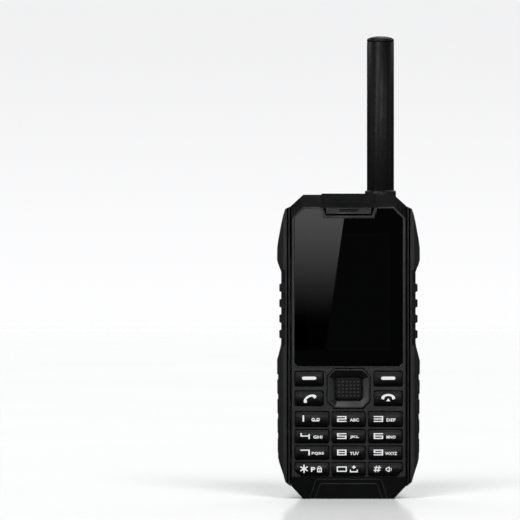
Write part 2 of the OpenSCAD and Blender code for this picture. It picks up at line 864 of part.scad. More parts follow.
module right_bumper() {
    waist_mid = (waist_z0 + waist_z1) / 2;
    translate([core_w / 2, 0, 0]) {
        difference() {
            intersection() {
                linear_extrude(body_h) bumper_section();
                in_depth(front_y, back_y) bumper_outline();
            }
            waist_recesses();
            for (i = [0 : groove_count - 1]) {
                translate([0, 0, groove_z + i * groove_pitch - groove_h / 2]) linear_extrude(groove_h)
                    difference() {
                        translate([strip_x, front_y]) square([lobe_out, body_t]);
                        polygon(concat([[0, strip_y - cut], [strip_x - groove_d, strip_y - cut]],
                            bumper_flank(groove_d),
                            [[strip_x - groove_d, strip_back_y + cut], [0, strip_back_y + cut]]));
                    }
            }
        }
        for (i = [0 : rib_count - 1]) {
            translate([0, 0, waist_mid + (i - (rib_count - 1) / 2) * rib_pitch - rib_drop]) waist_rib();
        }
    }
}

module bumper_left() {
    color(rubber_black) mirror([1, 0, 0]) right_bumper();
}

module bumper_right() {
    color(rubber_black) right_bumper();
}

// ---- display and earpiece ----

module display_lens() {
    color([0.02, 0.02, 0.025]) in_depth(lens_y, lens_y + lens_t) difference() {
        lens_outline(0);
        ear_outline(-2 * fit_gap);
    }
}

module lcd_panel() {
    rim = frame_wall + fit_gap;
    color([0.1, 0.1, 0.12])
        block(rim - module_w / 2, module_w / 2 - rim, module_y, module_y + panel_t,
            module_z + rim, module_z + module_h - rim);
}

module lcd_frame() {
    color("silver") difference() {
        block(-module_w / 2, module_w / 2, module_y, frame_back_y, module_z, module_z + module_h);
        block(frame_wall - module_w / 2, module_w / 2 - frame_wall, module_y - cut,
            module_y + panel_t + seat_gap, module_z + frame_wall, module_z + module_h - frame_wall);
    }
}

module earpiece_trim() {
    inner = ear_band + ear_groove;
    groove_depth = 0.9;
    slot_r = 0.7;
    color([0.12, 0.12, 0.12]) difference() {
        in_depth(ear_y, lens_seat_y - seat_gap) ear_outline(0);
        in_depth(ear_y - cut, ear_y + groove_depth) difference() {
            ear_outline(ear_band);
            ear_outline(inner);
        }
        in_depth(ear_y - cut, lens_seat_y + cut) soft_rect(0, ear_slot_z, ear_slot_w, ear_slot_h, slot_r);
    }
}

module earpiece_mesh() {
    mesh_y = lens_seat_y + fit_gap;
    mesh_t = 0.3;
    color("dimgray") in_depth(mesh_y, mesh_y + mesh_t)
        soft_rect(0, ear_slot_z + fit_gap, ear_port_w - 4 * fit_gap, ear_slot_h - 2 * fit_gap,
            ear_port_r - fit_gap);
}

module earpiece_receiver() {
    receiver_w = 15;
    receiver_h = 5.4;
    receiver_r = 1.5;
    receiver_drop = 6;
    color("darkslategray") in_depth(wall_y + fit_gap, board_y - fit_gap)
        soft_rect(0, lens_top_z - receiver_drop, receiver_w, receiver_h, receiver_r);
}

module chin_plate() {
    low = 0.2;
    color(shell_black) difference() {
        intersection() {
            in_depth(front_y - cut, parting_y - cut) chin_outline(low, 1.5 * fit_gap);
            across(-core_w, core_w) front_profile(0);
        }
        across(-core_w - cut, core_w + cut) translate([chin_pocket - seat_gap, 0]) front_profile(cut);
        difference() {
            outside_front(chin_border);
            in_depth(front_y - 2 * cut, parting_y) trapezoid(chin_panel_low_w, -2 * cut, chin_panel_up_w,
                chin_panel_h);
        }
    }
}

// ---- keypad ----

module keypad_membrane() {
    sheet_gap = 0.6;
    sheet_edge = 1;
    sheet_x = core_w / 2 - side_wall - sheet_gap;
    sheet_z0 = keypad_z - sheet_edge;
    sheet_z1 = soft_z + menu_h / 2 + sheet_edge;
    pad_gap = 0.4;
    color("gray") difference() {
        block(-sheet_x, sheet_x, membrane_y, membrane_y + membrane_t, sheet_z0, sheet_z1);
        for (k = KEYS) {
            post(k[1], k[2] + k[4] / 2, membrane_hole_r, membrane_y - cut, membrane_y + membrane_t + cut);
        }
        for (p = nav_stems()) {
            post(p[0], p[1], membrane_hole_r, membrane_y - cut, membrane_y + membrane_t + cut);
        }
        in_depth(membrane_y - cut, membrane_y + membrane_t + cut)
            translate([0, nav_z]) square([nav_pad_w + 2 * pad_gap, nav_pad_h + 2 * pad_gap], center = true);
        at_posts() post(0, 0, post_r + post_gap, membrane_y - cut, membrane_y + membrane_t + cut);
    }
}

function nav_stems() = [
    [-nav_stem_x, nav_z], [nav_stem_x, nav_z], [0, nav_z - nav_stem_z], [0, nav_z + nav_stem_z]
];

function key_centres() = [for (k = KEYS) [k[1], k[2] + k[4] / 2]];

module key_domes() {
    dome_top_r = dome_r / 2;
    color("gold") for (p = concat(key_centres(), nav_stems(), [[0, nav_z]])) {
        translate([p[0], board_y, p[1]]) rotate([90, 0, 0])
            cylinder(r1 = dome_r, r2 = dome_top_r, h = dome_h);
    }
}

// key cap with a face rounded from top to bottom, and the stem that presses its dome
module key_cap(k) {
    mid = k[2] + k[4] / 2;
    crown_r = (pow(k[4] / 2, 2) + pow(key_crown, 2)) / (2 * key_crown);
    color(key_black) union() {
        intersection() {
            in_depth(front_y - cut, key_base_y) key_outline(k, 0);
            translate([k[1] - k[3], front_y + crown_r, mid]) rotate([0, 90, 0])
                cylinder(r = crown_r, h = 2 * k[3], $fn = 96);
        }
        post(k[1], mid, stem_r, key_base_y, stem_tip_y);
    }
}

// sloped slab that cuts one side of the dish of the navigation ring
module dish_cut(turn, reach) {
    translate([0, front_y, nav_z]) rotate([0, turn, 0]) translate([reach, 0, 0]) rotate([0, 0, nav_slope])
        translate([-2 * nav_w, -nav_w, -nav_w]) cube([2 * nav_w, nav_w, 2 * nav_w]);
}

module nav_ring() {
    rim = 0.7;
    hole_w = select_w + 2 * loose_gap;
    hole_h = select_h + 2 * loose_gap;
    nav_stem_r = 1.3;
    color(key_black) union() {
        difference() {
            in_depth(front_y, key_base_y) difference() {
                nav_outline(0);
                translate([0, nav_z]) square([hole_w, hole_h], center = true);
            }
            intersection() {
                dish_cut(0, nav_w / 2 - rim);
                dish_cut(180, nav_w / 2 - rim);
                dish_cut(90, nav_h / 2 - rim);
                dish_cut(270, nav_h / 2 - rim);
            }
        }
        for (p = nav_stems()) {
            post(p[0], p[1], nav_stem_r, key_base_y, stem_tip_y);
        }
    }
}

module nav_pad() {
    pad_hole_r = 1.7;
    color("gray") in_depth(nav_pivot_y - nav_pad_t / 2, nav_pivot_y + nav_pad_t / 2)
        translate([0, nav_z]) difference() {
            square([nav_pad_w, nav_pad_h], center = true);
            circle(r = pad_hole_r);
        }
}

module nav_select() {
    face = front_y + 0.15;
    base = key_base_y - 0.3;
    select_stem_r = 1.2;
    dot_w = 1.1;
    dot_h = 0.95;
    dot_rise = 0.15;
    dot_pitch_x = 1.73;
    dot_pitch_z = 1.57;
    dot_cols = 6;
    dot_rows = 5;
    corner_r = 0.8;
    color(key_black) union() {
        in_depth(face, base) soft_rect(0, nav_z - select_h / 2, select_w, select_h, corner_r);
        for (i = [0 : dot_cols - 1]) {
            for (j = [0 : dot_rows - 1]) {
                dot_x = (i - (dot_cols - 1) / 2) * dot_pitch_x;
                dot_z = nav_z + (j - (dot_rows - 1) / 2) * dot_pitch_z;
                translate([dot_x, face - dot_rise / 2, dot_z]) cube([dot_w, dot_rise, dot_h], center = true);
            }
        }
        post(0, nav_z, select_stem_r, base, stem_tip_y);
    }
}

// ---- electronics ----

module main_board() {
    gap = 0.5;
    color("darkgreen") difference() {
        in_depth(board_y, board_back_y) intersection() {
            core_outline(side_wall + gap);
            translate([-core_w, board_z]) square([2 * core_w, body_h - board_z - board_top_gap]);
        }
        at_posts() post(0, 0, post_r + post_gap, board_y - cut, board_back_y + cut);
    }
}

// a box of a given size that stands behind the main board
module on_board(x, z, size) {
    translate([x, board_back_y + seat_gap, z]) cube(size);
}

module shield_cans() {
    color("silver") {
        on_board(-low_can[0] / 2, low_can_z, low_can);
        on_board(high_can_x, high_can_z, high_can);
    }
}

module satellite_modem() {
    color("silver") on_board(-modem[0] / 2, modem_z, modem);
}

module gnss_antenna() {
    feed_r = 0.8;
    feed_d = 0.5;
    feed_off = 2;
    patch_back_y = board_back_y + seat_gap + patch_t;
    color("tan") difference() {
        on_board(-patch_w, patch_z, [patch_w, patch_t, patch_w]);
        post(feed_off - patch_w / 2, patch_z + patch_w / 2, feed_r, patch_back_y - feed_d,
            patch_back_y + cut);
    }
}

module sim_holder() {
    card_half = 6.2;
    card_t = 0.9;
    card_end = 1.2;
    card_y = bay_floor_y + 0.6;
    color("silver") difference() {
        block(-sim_w / 2, sim_w / 2, bay_floor_y + seat_gap, bay_floor_y + sim_t, sim_z, sim_z + sim_h);
        for (side = [-1, 1]) {
            card_x = side * sim_w / 4;
            block(card_x - card_half, card_x + card_half, card_y, card_y + card_t,
                sim_z - cut, sim_z + sim_h - card_end);
        }
    }
}

module microphone() {
    inlet_r = 0.5;
    inlet_depth = 0.5;
    color("silver") translate([mic_x, mic_y, front_wall + fit_gap]) difference() {
        cylinder(r = mic_r, h = mic_h);
        translate([0, 0, -cut]) cylinder(r = inlet_r, h = cut + inlet_depth);
    }
}

module usb_connector() {
    shell_t = 0.3;
    shell_back = 0.6;
    tongue_t = 0.6;
    tongue_side = 1.5;
    tongue_low = 1;
    low = front_wall + fit_gap;
    top = low + port_depth;
    x = port_w / 2 - fit_gap;
    y0 = port_y0;
    tongue_y = y0 + (port_t - tongue_t) / 2;
    color("silver") {
        difference() {
            block(-x, x, y0, y0 + port_t, low, top);
            block(shell_t - x, x - shell_t, y0 + shell_t, y0 + port_t - shell_t, low - cut, top - shell_back);
        }
        block(tongue_side - x, x - tongue_side, tongue_y, tongue_y + tongue_t, low + tongue_low,
            top - shell_back / 2);
    }
}

// rubber flap that swings down on a round root at its rear edge
module usb_flap() {
    r = flap_t / 2;
    color(rubber_black) union() {
        block(-flap_w / 2, flap_w / 2, flap_front_y, flap_pivot_y, flap_lift, flap_lift + flap_t);
        translate([-flap_w / 2, flap_pivot_y, flap_pivot_z]) rotate([0, 90, 0]) cylinder(r = r, h = flap_w);
        block(-plug_w / 2, plug_w / 2, port_y0 + plug_back, port_y0 + plug_back + plug_t,
            flap_lift + flap_t - fit_gap, flap_lift + flap_t + plug_h);
    }
}

module loudspeaker() {
    back = hump_y - hump_wall - fit_gap;
    cone_r = 5;
    cone_depth = 0.8;
    color("darkslategray") difference() {
        block(speaker_x0, speaker_x0 + speaker_w, back - speaker_t, back, speaker_z, speaker_z + speaker_h);
        post(speaker_x0 + speaker_w / 2, speaker_z + speaker_h / 2, cone_r, back - cone_depth, back + cut);
    }
}

module vibration_motor() {
    motor_y = board_back_y + seat_gap;
    color("silver") post(motor_x, motor_z, motor_r, motor_y, motor_y + motor_t);
}

// ---- battery ----

module battery_pack() {
    battery_y = bay_floor_y + 2 * fit_gap;
    corner_r = 1;
    color([0.15, 0.15, 0.16]) in_depth(battery_y, battery_y + battery_t)
        soft_rect(0, battery_z, battery_w, battery_h, corner_r);
}

module battery_contacts() {
    tip_y = bay_floor_y + 3;
    blade_half = 0.4;
    blade_l = 1.5;
    blade_h = 1;
    blade_pitch = 2.4;
    color("goldenrod") difference() {
        block(-contact_w / 2, contact_w / 2, board_back_y + seat_gap, tip_y, contact_z,
            contact_z + contact_h);
        for (i = [-1.5 : 1 : 1.5]) {
            blade_x = i * blade_pitch;
            block(blade_x - blade_half, blade_x + blade_half, tip_y - blade_l, tip_y + cut,
                contact_z - cut, contact_z + blade_h);
        }
    }
}

module battery_cover() {
    inner_x = cover_w / 2 - cover_side;
    rib_y = gasket_y + gasket_t;
    edge = 1.2;
    panel_w = 37;
    panel_depth = 0.5;
    panel_taper = 8;
    panel_z = lock_z + 9;
    panel_h = cover_top_z - lock_z - 15;
    grip_count = 5;
    grip_rise = 3;
    grip_pitch = 3.2;
    grip_h = 1.4;
    hook_root = 2;
    color(shell_black) difference() {
        union() {
            difference() {
                intersection() {
                    block(-cover_w / 2, cover_w / 2, cover_y, back_y, cover_z, cover_top_z);
                    linear_extrude(body_h) polygon([
                        [-cover_w / 2, cover_y], [cover_w / 2, cover_y], [cover_w / 2, back_y - edge],
                        [cover_w / 2 - edge, back_y], [-cover_w / 2 + edge, back_y],
                        [-cover_w / 2, back_y - edge]
                    ]);
                }
                block(-inner_x, inner_x, cover_y - cut, back_y - cover_skin, cover_z + cover_side,
                    cover_top_z - cover_side);
            }
            in_depth(rib_y, back_y - cover_skin + fit_gap) bay_ring(gasket_off, gasket_w);
            for (side = [-1, 1]) {
                intersection() {
                    post(side * lock_x, lock_z, lock_boss_r, cover_y, back_y - 0.3);
                    block(-inner_x - 0.5, inner_x + 0.5, cover_y, back_y, cover_z, cover_top_z);
                }
                hook_mid = side * (hook_x0 + hook_x1) / 2;
                hook_half = (hook_x1 - hook_x0) / 2;
                block(hook_mid - hook_half, hook_mid + hook_half, hook_y, hook_y + hook_t,
                    cover_top_z - hook_root, cover_top_z + hook_rise);
            }
        }
        for (side = [-1, 1]) {
            post(side * lock_x, lock_z, lock_pocket_r, lock_floor_y, back_y + cut);
            post(side * lock_x, lock_z, lock_bore_d / 2, cover_y - cut, back_y);
        }
        in_depth(cover_y - cut, rib_y) bay_ring(gasket_off - fit_gap / 2, gasket_w + fit_gap);
        in_depth(back_y - panel_depth, back_y + cut) difference() {
            translate([0, panel_z]) trapezoid(panel_w, 0, panel_w - panel_taper, panel_h);
            for (i = [0 : grip_count - 1]) {
                translate([-panel_w / 2, panel_z + grip_rise + i * grip_pitch]) square([panel_w, grip_h]);
            }
        }
    }
}

// ring around the battery bay, off wide of it
module bay_ring(off, w) {
    difference() {
        translate([-bay_w / 2 - off - w, bay_z - off - w])
            square([bay_w + 2 * (off + w), bay_top_z - bay_z + 2 * (off + w)]);
        translate([-bay_w / 2 - off, bay_z - off]) square([bay_w + 2 * off, bay_top_z - bay_z + 2 * off]);
    }
}

module cover_gasket() {
    color("orangered") in_depth(gasket_y, gasket_y + gasket_t) bay_ring(gasket_off, gasket_w);
}

module lock_screw(side) {
    slot_w = 1;
    slot_d = 0.5;
    slot_l = 5.4;
    hole_z = lock_head_d / 2 - ring_pin_in - fit_gap;
    color("silver") translate([side * lock_x, 0, lock_z]) difference() {
        union() {
            post(0, 0, lock_head_d / 2, lock_head_y0, lock_head_y1);
            post(0, 0, lock_shank_d / 2, lock_tip_y, lock_head_y0);
        }
        translate([0, lock_head_y1, 0]) cube([slot_w, 2 * slot_d, slot_l], center = true);
        for (turn = [-90, 90]) {
            translate([0, ring_y, 0]) rotate([0, turn, 0]) translate([0, 0, hole_z])
                cylinder(r = ring_hole_r, h = ring_pin_in + cut);
        }
    }
}

// half ring hanging from two pins in the sides of its screw head
module lock_ring(side) {
    pin_in = lock_head_d / 2 - ring_pin_in;
    pin_l = ring_r - pin_in + 2 * fit_gap;
    color("gainsboro") translate([side * lock_x, ring_y, lock_z]) union() {
        rotate([90, 0, 0]) rotate([0, 0, 180]) rotate_extrude(angle = 180) translate([ring_r, 0])
            circle(d = ring_wire_d);
        for (turn = [-90, 90]) {
            rotate([0, turn, 0]) translate([0, 0, pin_in]) cylinder(r = ring_pin_r, h = pin_l);
        }
    }
}

// ---- antenna ----

module at_antenna(z) {
    translate([antenna_x, antenna_y, z]) children();
}

module antenna_tube() {
    tube_l = cap_z - tube_z;
    color(shell_black) at_antenna(tube_z) difference() {
        cylinder(d = tube_d, h = tube_l, $fn = 96);
        translate([0, 0, -cut]) cylinder(d = tube_d - 2 * tube_wall, h = tube_l + 2 * cut, $fn = 96);
    }
}

module antenna_cap() {
    plug_l = 3;
    plug_r = tube_d / 2 - tube_wall - seat_gap;
    rim_h = 1;
    cap_r = tube_d / 2;
    color(shell_black) at_antenna(cap_z) rotate_extrude($fn = 96) polygon(concat(
        [[0, -plug_l], [plug_r, -plug_l], [plug_r, seat_gap], [cap_r - edge_break, seat_gap],
            [cap_r, seat_gap + edge_break], [cap_r, rim_h]],
        [for (a = [10 : 10 : 90]) [cap_r * cos(a), rim_h + (cap_h - rim_h) * sin(a)]]
    ));
}

module antenna_collar() {
    lip = 0.8;
    groove_depth = 2 * seal_wire_r - 2 * fit_gap;
    color(shell_black) at_antenna(collar_z) difference() {
        rotate_extrude($fn = 96) polygon(concat(
            [[plug_flange_r + fit_gap, 0], [collar_d / 2 - edge_break, 0], [collar_d / 2, edge_break]],
            [for (a = [0 : 15 : 90]) [collar_d / 2 - lip + lip * cos(a), collar_h - lip + lip * sin(a)]],
            [[plug_flange_r + fit_gap, collar_h]]
        ));
        translate([0, 0, collar_floor]) cylinder(d = tube_d + 2 * seat_gap, h = collar_h, $fn = 96);
        translate([0, 0, -cut]) difference() {
            cylinder(r = seal_r + seal_wire_r + seat_gap, h = cut + groove_depth);
            cylinder(r = seal_r - seal_wire_r - seat_gap, h = cut + groove_depth);
        }
    }
}

module antenna_seal() {
    rest_gap = 0.02;
    color("orangered") at_antenna(rear_top_z + rest_gap + seal_wire_r) rotate_extrude($fn = 96)
        translate([seal_r, 0]) circle(r = seal_wire_r, $fn = 32);
}

module antenna_plug() {
    thread_z = rear_top_z - stub_l;
    pin_r = 0.6;
    pin_l = 0.6;
    color("gold") at_antenna(0) union() {
        translate([0, 0, thread_z]) cylinder(d = stub_d, h = collar_z - thread_z);
        translate([0, 0, collar_z]) cylinder(r = plug_flange_r, h = plug_flange_h);
        translate([0, 0, thread_z - pin_l]) cylinder(r = pin_r, h = pin_l);
    }
}

module helix_former() {
    color("ivory") at_antenna(former_z) difference() {
        cylinder(r = former_r, h = cap_z - former_end - former_z);
        translate([0, 0, -cut]) cylinder(r = former_r - former_wall, h = cap_z);
    }
}

module helix_strips() {
    foil_gap = 0.08;
    inner = former_r + foil_gap;
    step = strip_angle / 2;
    color("orange") at_antenna(strip_z) for (i = [0 : strip_count - 1]) {
        rotate(i * 360 / strip_count) linear_extrude(strip_h, twist = -strip_twist, slices = 24, $fn = 4)
            polygon(concat(
                [for (a = [0 : step : strip_angle]) inner * [cos(a), sin(a)]],
                [for (a = [strip_angle : -step : 0]) (inner + strip_t) * [cos(a), sin(a)]]
            ));
    }
}

module antenna_socket() {
    end_gap = 0.65;
    color("gold") at_antenna(rear_top_z - socket_depth + seat_gap) difference() {
        cylinder(r = socket_r, h = socket_depth - seat_gap);
        translate([0, 0, socket_depth - seat_gap - stub_l - end_gap])
            cylinder(d = stub_d + 2 * thread_gap, h = socket_depth);
    }
}

// ---- nodes ----

front_housing();
rear_housing();
housing_seal();
housing_screws();
bumper_left();
bumper_right();
display_lens();
lcd_panel();
lcd_frame();
earpiece_trim();
earpiece_mesh();
earpiece_receiver();
chin_plate();
keypad_membrane();
key_domes();
main_board();
shield_cans();
satellite_modem();
gnss_antenna();
sim_holder();
microphone();
usb_connector();
usb_flap();
loudspeaker();
vibration_motor();
battery_pack();
battery_contacts();
battery_cover();
cover_gasket();
lock_screw(-1);  // lock_screw_left
lock_screw(1);  // lock_screw_right
lock_ring(-1);  // lock_ring_left
lock_ring(1);  // lock_ring_right
antenna_tube();
antenna_cap();
antenna_collar();
helix_former();
helix_strips();
antenna_plug();
antenna_seal();
antenna_socket();
nav_pad();
nav_ring();
nav_select();
for (k = KEYS) {
    key_cap(k);
}
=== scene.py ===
"""Looks of a rugged satellite phone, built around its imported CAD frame.

Metres. +Z is up, +X is to the viewer's right, and the front of the phone faces -Y.
Lengths below are in millimetres times MM, and places come from the boxes of the CAD nodes.
"""
import json
import math

import bmesh
import bpy
from mathutils import Matrix, Vector, geometry

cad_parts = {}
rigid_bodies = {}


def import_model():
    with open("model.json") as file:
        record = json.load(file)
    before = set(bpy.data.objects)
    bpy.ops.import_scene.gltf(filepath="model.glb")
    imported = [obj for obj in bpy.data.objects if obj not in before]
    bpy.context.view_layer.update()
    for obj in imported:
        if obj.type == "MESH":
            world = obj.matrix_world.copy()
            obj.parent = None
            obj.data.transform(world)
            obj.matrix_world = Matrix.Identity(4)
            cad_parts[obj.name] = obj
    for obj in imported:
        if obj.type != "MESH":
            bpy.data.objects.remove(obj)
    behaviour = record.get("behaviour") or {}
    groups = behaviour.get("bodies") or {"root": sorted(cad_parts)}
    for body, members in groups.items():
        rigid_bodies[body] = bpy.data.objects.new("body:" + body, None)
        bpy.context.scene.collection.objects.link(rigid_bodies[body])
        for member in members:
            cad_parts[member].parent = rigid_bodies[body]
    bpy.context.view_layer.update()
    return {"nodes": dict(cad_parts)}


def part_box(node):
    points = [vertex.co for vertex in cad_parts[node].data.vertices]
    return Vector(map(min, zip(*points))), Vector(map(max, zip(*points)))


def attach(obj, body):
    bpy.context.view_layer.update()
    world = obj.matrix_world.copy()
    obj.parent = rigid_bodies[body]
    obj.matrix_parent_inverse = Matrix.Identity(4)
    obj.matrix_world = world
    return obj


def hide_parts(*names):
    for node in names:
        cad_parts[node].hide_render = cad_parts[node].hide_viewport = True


MM = 0.001

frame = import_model()
nodes = frame["nodes"]


# ---------------------------------------------------------------- boxes of the frame

def span(node, axis):
    """Lowest and highest coordinate of a CAD node along an axis, 0 to 2."""
    low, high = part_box(node)
    return low[axis], high[axis]


FACE_ABOVE_LENS = 0.2 * MM
FACE_Y = span("display_lens", 1)[0] - FACE_ABOVE_LENS
FRONT_Y = span("nav_ring", 1)[0]


# ---------------------------------------------------------------- materials

EDGE_STARTS = 0.98
EDGE_FULL = 0.7


class Paint:
    """One node material: small helpers that add and join shader nodes."""

    def __init__(self, name, color, roughness, **settings):
        self.material = bpy.data.materials.new(name)
        self.material.use_nodes = True
        self.tree = self.material.node_tree
        self.shader = self.tree.nodes["Principled BSDF"]
        self.shader.inputs["Base Color"].default_value = (*color, 1)
        self.shader.inputs["Roughness"].default_value = roughness
        for socket, value in settings.items():
            self.shader.inputs[socket.replace("_", " ")].default_value = value
        self.place = self.add("ShaderNodeTexCoord").outputs["Object"]

    def add(self, kind, **settings):
        node = self.tree.nodes.new(kind)
        for name, value in settings.items():
            setattr(node, name, value)
        return node

    def join(self, source, target):
        self.tree.links.new(source, target)

    def stretched(self, scale):
        """Object coordinates, in units of 1 / scale metres along each axis."""
        mapping = self.add("ShaderNodeMapping")
        mapping.inputs["Scale"].default_value = scale
        self.join(self.place, mapping.inputs["Vector"])
        return mapping.outputs["Vector"]

    def noise(self, scale, detail, stretch=(1, 1, 1)):
        node = self.add("ShaderNodeTexNoise")
        node.inputs["Scale"].default_value = 1
        node.inputs["Detail"].default_value = detail
        self.join(self.stretched([scale * s for s in stretch]), node.inputs["Vector"])
        return node.outputs["Fac"]

    def remap(self, value, low, high, to_low=0.0, to_high=1.0):
        node = self.add("ShaderNodeMapRange")
        self.join(value, node.inputs["Value"])
        limits = {"From Min": low, "From Max": high, "To Min": to_low, "To Max": to_high}
        for socket, number in limits.items():
            node.inputs[socket].default_value = number
        return node.outputs["Result"]

    def math(self, operation, a, b):
        node = self.add("ShaderNodeMath", operation=operation)
        for socket, value in zip(node.inputs, (a, b)):
            if isinstance(value, (int, float)):
                socket.default_value = value
            else:
                self.join(value, socket)
        return node.outputs["Value"]

    def mix(self, factor, first, second):
        """A colour between two colours or sockets."""
        node = self.add("ShaderNodeMix", data_type="RGBA")
        self.join(factor, node.inputs["Factor"])
        for socket, value in ((node.inputs["A"], first), (node.inputs["B"], second)):
            if isinstance(value, tuple):
                socket.default_value = (*value, 1)
            else:
                self.join(value, socket)
        return node.outputs["Result"]

    def edges(self, radius):
        """1 on edges that are sharper than the radius, 0 on flats, by how far the bevelled normal leans."""
        bevel = self.add("ShaderNodeBevel", samples=6)
        bevel.inputs["Radius"].default_value = radius
        geometry_node = self.add("ShaderNodeNewGeometry")
        dot = self.add("ShaderNodeVectorMath", operation="DOT_PRODUCT")
        self.join(bevel.outputs["Normal"], dot.inputs[0])
        self.join(geometry_node.outputs["Normal"], dot.inputs[1])
        return self.remap(dot.outputs["Value"], EDGE_STARTS, EDGE_FULL)

    def bump(self, heights):
        """Adds (height socket, distance) pairs as bump, one on top of another."""
        normal = None
        for height, distance in heights:
            node = self.add("ShaderNodeBump")
            node.inputs["Strength"].default_value = 1.0
            node.inputs["Distance"].default_value = distance
            self.join(height, node.inputs["Height"])
            if normal is not None:
                self.join(normal, node.inputs["Normal"])
            normal = node.outputs["Normal"]
        self.join(normal, self.shader.inputs["Normal"])

    def color(self, socket):
        self.join(socket, self.shader.inputs["Base Color"])

    def roughness(self, socket):
        self.join(socket, self.shader.inputs["Roughness"])


def moulded(name, color, roughness, grain, depth, edge_polish_and_sheen=0.35, **settings):
    """Moulded plastic or rubber: fine spark-eroded grain, faint flow marks, and polished edges that are also
    coloured lighter as a painted highlight.
    """
    paint = Paint(name, color, roughness, **settings)
    flow = paint.noise(45, 3, (1, 1, 0.4))
    handling = paint.noise(160, 5)
    fine = paint.noise(grain, 2)
    edge = paint.edges(0.25 * MM)
    # Edge mask: lower roughness for polish, and a lighter colour that is a painted highlight.
    polish_and_sheen = paint.math("MULTIPLY", edge, paint.remap(handling, 0.35, 0.65, edge_polish_and_sheen * 0.4, edge_polish_and_sheen))
    dark = tuple(c * 0.82 for c in color)
    light = tuple(c * 1.18 for c in color)
    # Lighter edge colour: a painted highlight on the edges.
    painted_edge_highlight = tuple(min(1.0, c * 2.6 + 0.012) for c in color)
    base = paint.mix(paint.remap(flow, 0.35, 0.65), dark, light)
    paint.color(paint.mix(polish_and_sheen, base, painted_edge_highlight))
    spread = paint.remap(handling, 0.3, 0.7, roughness - 0.05, roughness + 0.06)
    paint.roughness(paint.math("SUBTRACT", spread, paint.math("MULTIPLY", polish_and_sheen, 0.2)))
    paint.bump([(flow, 0.012 * MM), (fine, depth)])
    return paint.material


def metal(name, color, roughness, brush, **settings):
    """Turned or brushed metal with fine marks and darker handling stains."""
    paint = Paint(name, color, roughness, Metallic=1.0, **settings)
    marks = paint.noise(900, 4, brush)
    stain = paint.noise(300, 4)
    dull = tuple(c * 0.72 for c in color)
    paint.color(paint.mix(paint.remap(stain, 0.35, 0.7), color, dull))
    paint.roughness(paint.remap(marks, 0.25, 0.75, roughness - 0.08, roughness + 0.12))
    paint.bump([(marks, 0.003 * MM)])
    return paint.material


def glass_black():
    """Polished cover glass with a black print behind it, the faint picture area showing through, and a thin
    lighter line round that area as a painted glint.
    """
    paint = Paint("lens_glass", (0.0, 0.0, 0.0), 0.03, IOR=1.5)
    low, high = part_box("lcd_panel")
    inset = 2.6 * MM
    middle, half = (low + high) / 2, (high - low) / 2
    parts = paint.add("ShaderNodeSeparateXYZ")
    paint.join(paint.place, parts.inputs[0])
    mask = None
    for axis, name in ((0, "X"), (2, "Z")):
        away = paint.math("ABSOLUTE", paint.math("SUBTRACT", parts.outputs[name], middle[axis]), 0)
        inside = paint.remap(away, half[axis] - inset + 0.15 * MM, half[axis] - inset - 0.15 * MM)
        mask = inside if mask is None else paint.math("MULTIPLY", mask, inside)
    smudge = paint.noise(70, 4)
    shade = paint.mix(mask, (0.0, 0.0, 0.0), (0.0012, 0.0012, 0.0013))
    # A thin lighter line round the picture area: a painted glint.
    painted_glint_line = paint.math("MULTIPLY", mask, paint.math("SUBTRACT", 1.0, mask))
    paint.color(paint.mix(paint.remap(painted_glint_line, 0.0, 0.25), shade, (0.005, 0.005, 0.0052)))
    paint.roughness(paint.remap(smudge, 0.4, 0.75, 0.0, 0.02))
    paint.bump([(paint.noise(25, 1), 0.0005 * MM)])
    return paint.material


def board_green():
    """Solder mask over copper tracks, with a weave of glass fibre under it."""
    paint = Paint("board", (0.01, 0.09, 0.035), 0.35)
    tracks = paint.add("ShaderNodeTexVoronoi", distance="MANHATTAN", feature="DISTANCE_TO_EDGE")
    tracks.inputs["Scale"].default_value = 1
    paint.join(paint.stretched((420, 420, 300)), tracks.inputs["Vector"])
    line = paint.remap(tracks.outputs["Distance"], 0.1, 0.05)
    weave = paint.noise(1800, 2, (1, 1, 0.3))
    paint.color(paint.mix(line, (0.006, 0.07, 0.028), (0.02, 0.17, 0.06)))
    paint.roughness(paint.remap(weave, 0.3, 0.7, 0.3, 0.42))
    paint.bump([(line, 0.03 * MM), (weave, 0.004 * MM)])
    return paint.material


def battery_wrap():
    """Printed shrink label: a dark panel with a pale band round its middle third."""
    paint = Paint("battery", (0.05, 0.05, 0.055), 0.38)
    low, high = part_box("battery_pack")
    parts = paint.add("ShaderNodeSeparateXYZ")
    paint.join(paint.place, parts.inputs[0])
    height = high.z - low.z
    above = paint.remap(parts.outputs["Z"], low.z + 0.18 * height, low.z + 0.185 * height)
    below = paint.remap(parts.outputs["Z"], low.z + 0.62 * height, low.z + 0.615 * height)
    band = paint.math("MULTIPLY", above, below)
    crease = paint.noise(220, 4, (1, 1, 0.5))
    paint.color(paint.mix(band, (0.03, 0.032, 0.036), (0.32, 0.33, 0.34)))
    paint.roughness(paint.remap(crease, 0.3, 0.7, 0.3, 0.46))
    paint.bump([(crease, 0.02 * MM)])
    return paint.material


def printed_white():
    """Translucent legend ink that glows by itself: the glow is painted light, as no lamp lights the keypad
    from behind.
    """
    # Emission on the legend ink: painted light.
    paint = Paint("legend_ink", (0.82, 0.82, 0.82), 0.5, Emission_Color=(1, 1, 1, 1), Emission_Strength=0.55)
    patch = paint.noise(2600, 3)
    paint.color(paint.mix(paint.remap(patch, 0.3, 0.75), (0.86, 0.86, 0.86), (0.7, 0.7, 0.71)))
    paint.roughness(paint.remap(patch, 0.3, 0.7, 0.42, 0.58))
    paint.bump([(patch, 0.003 * MM)])
    return paint.material


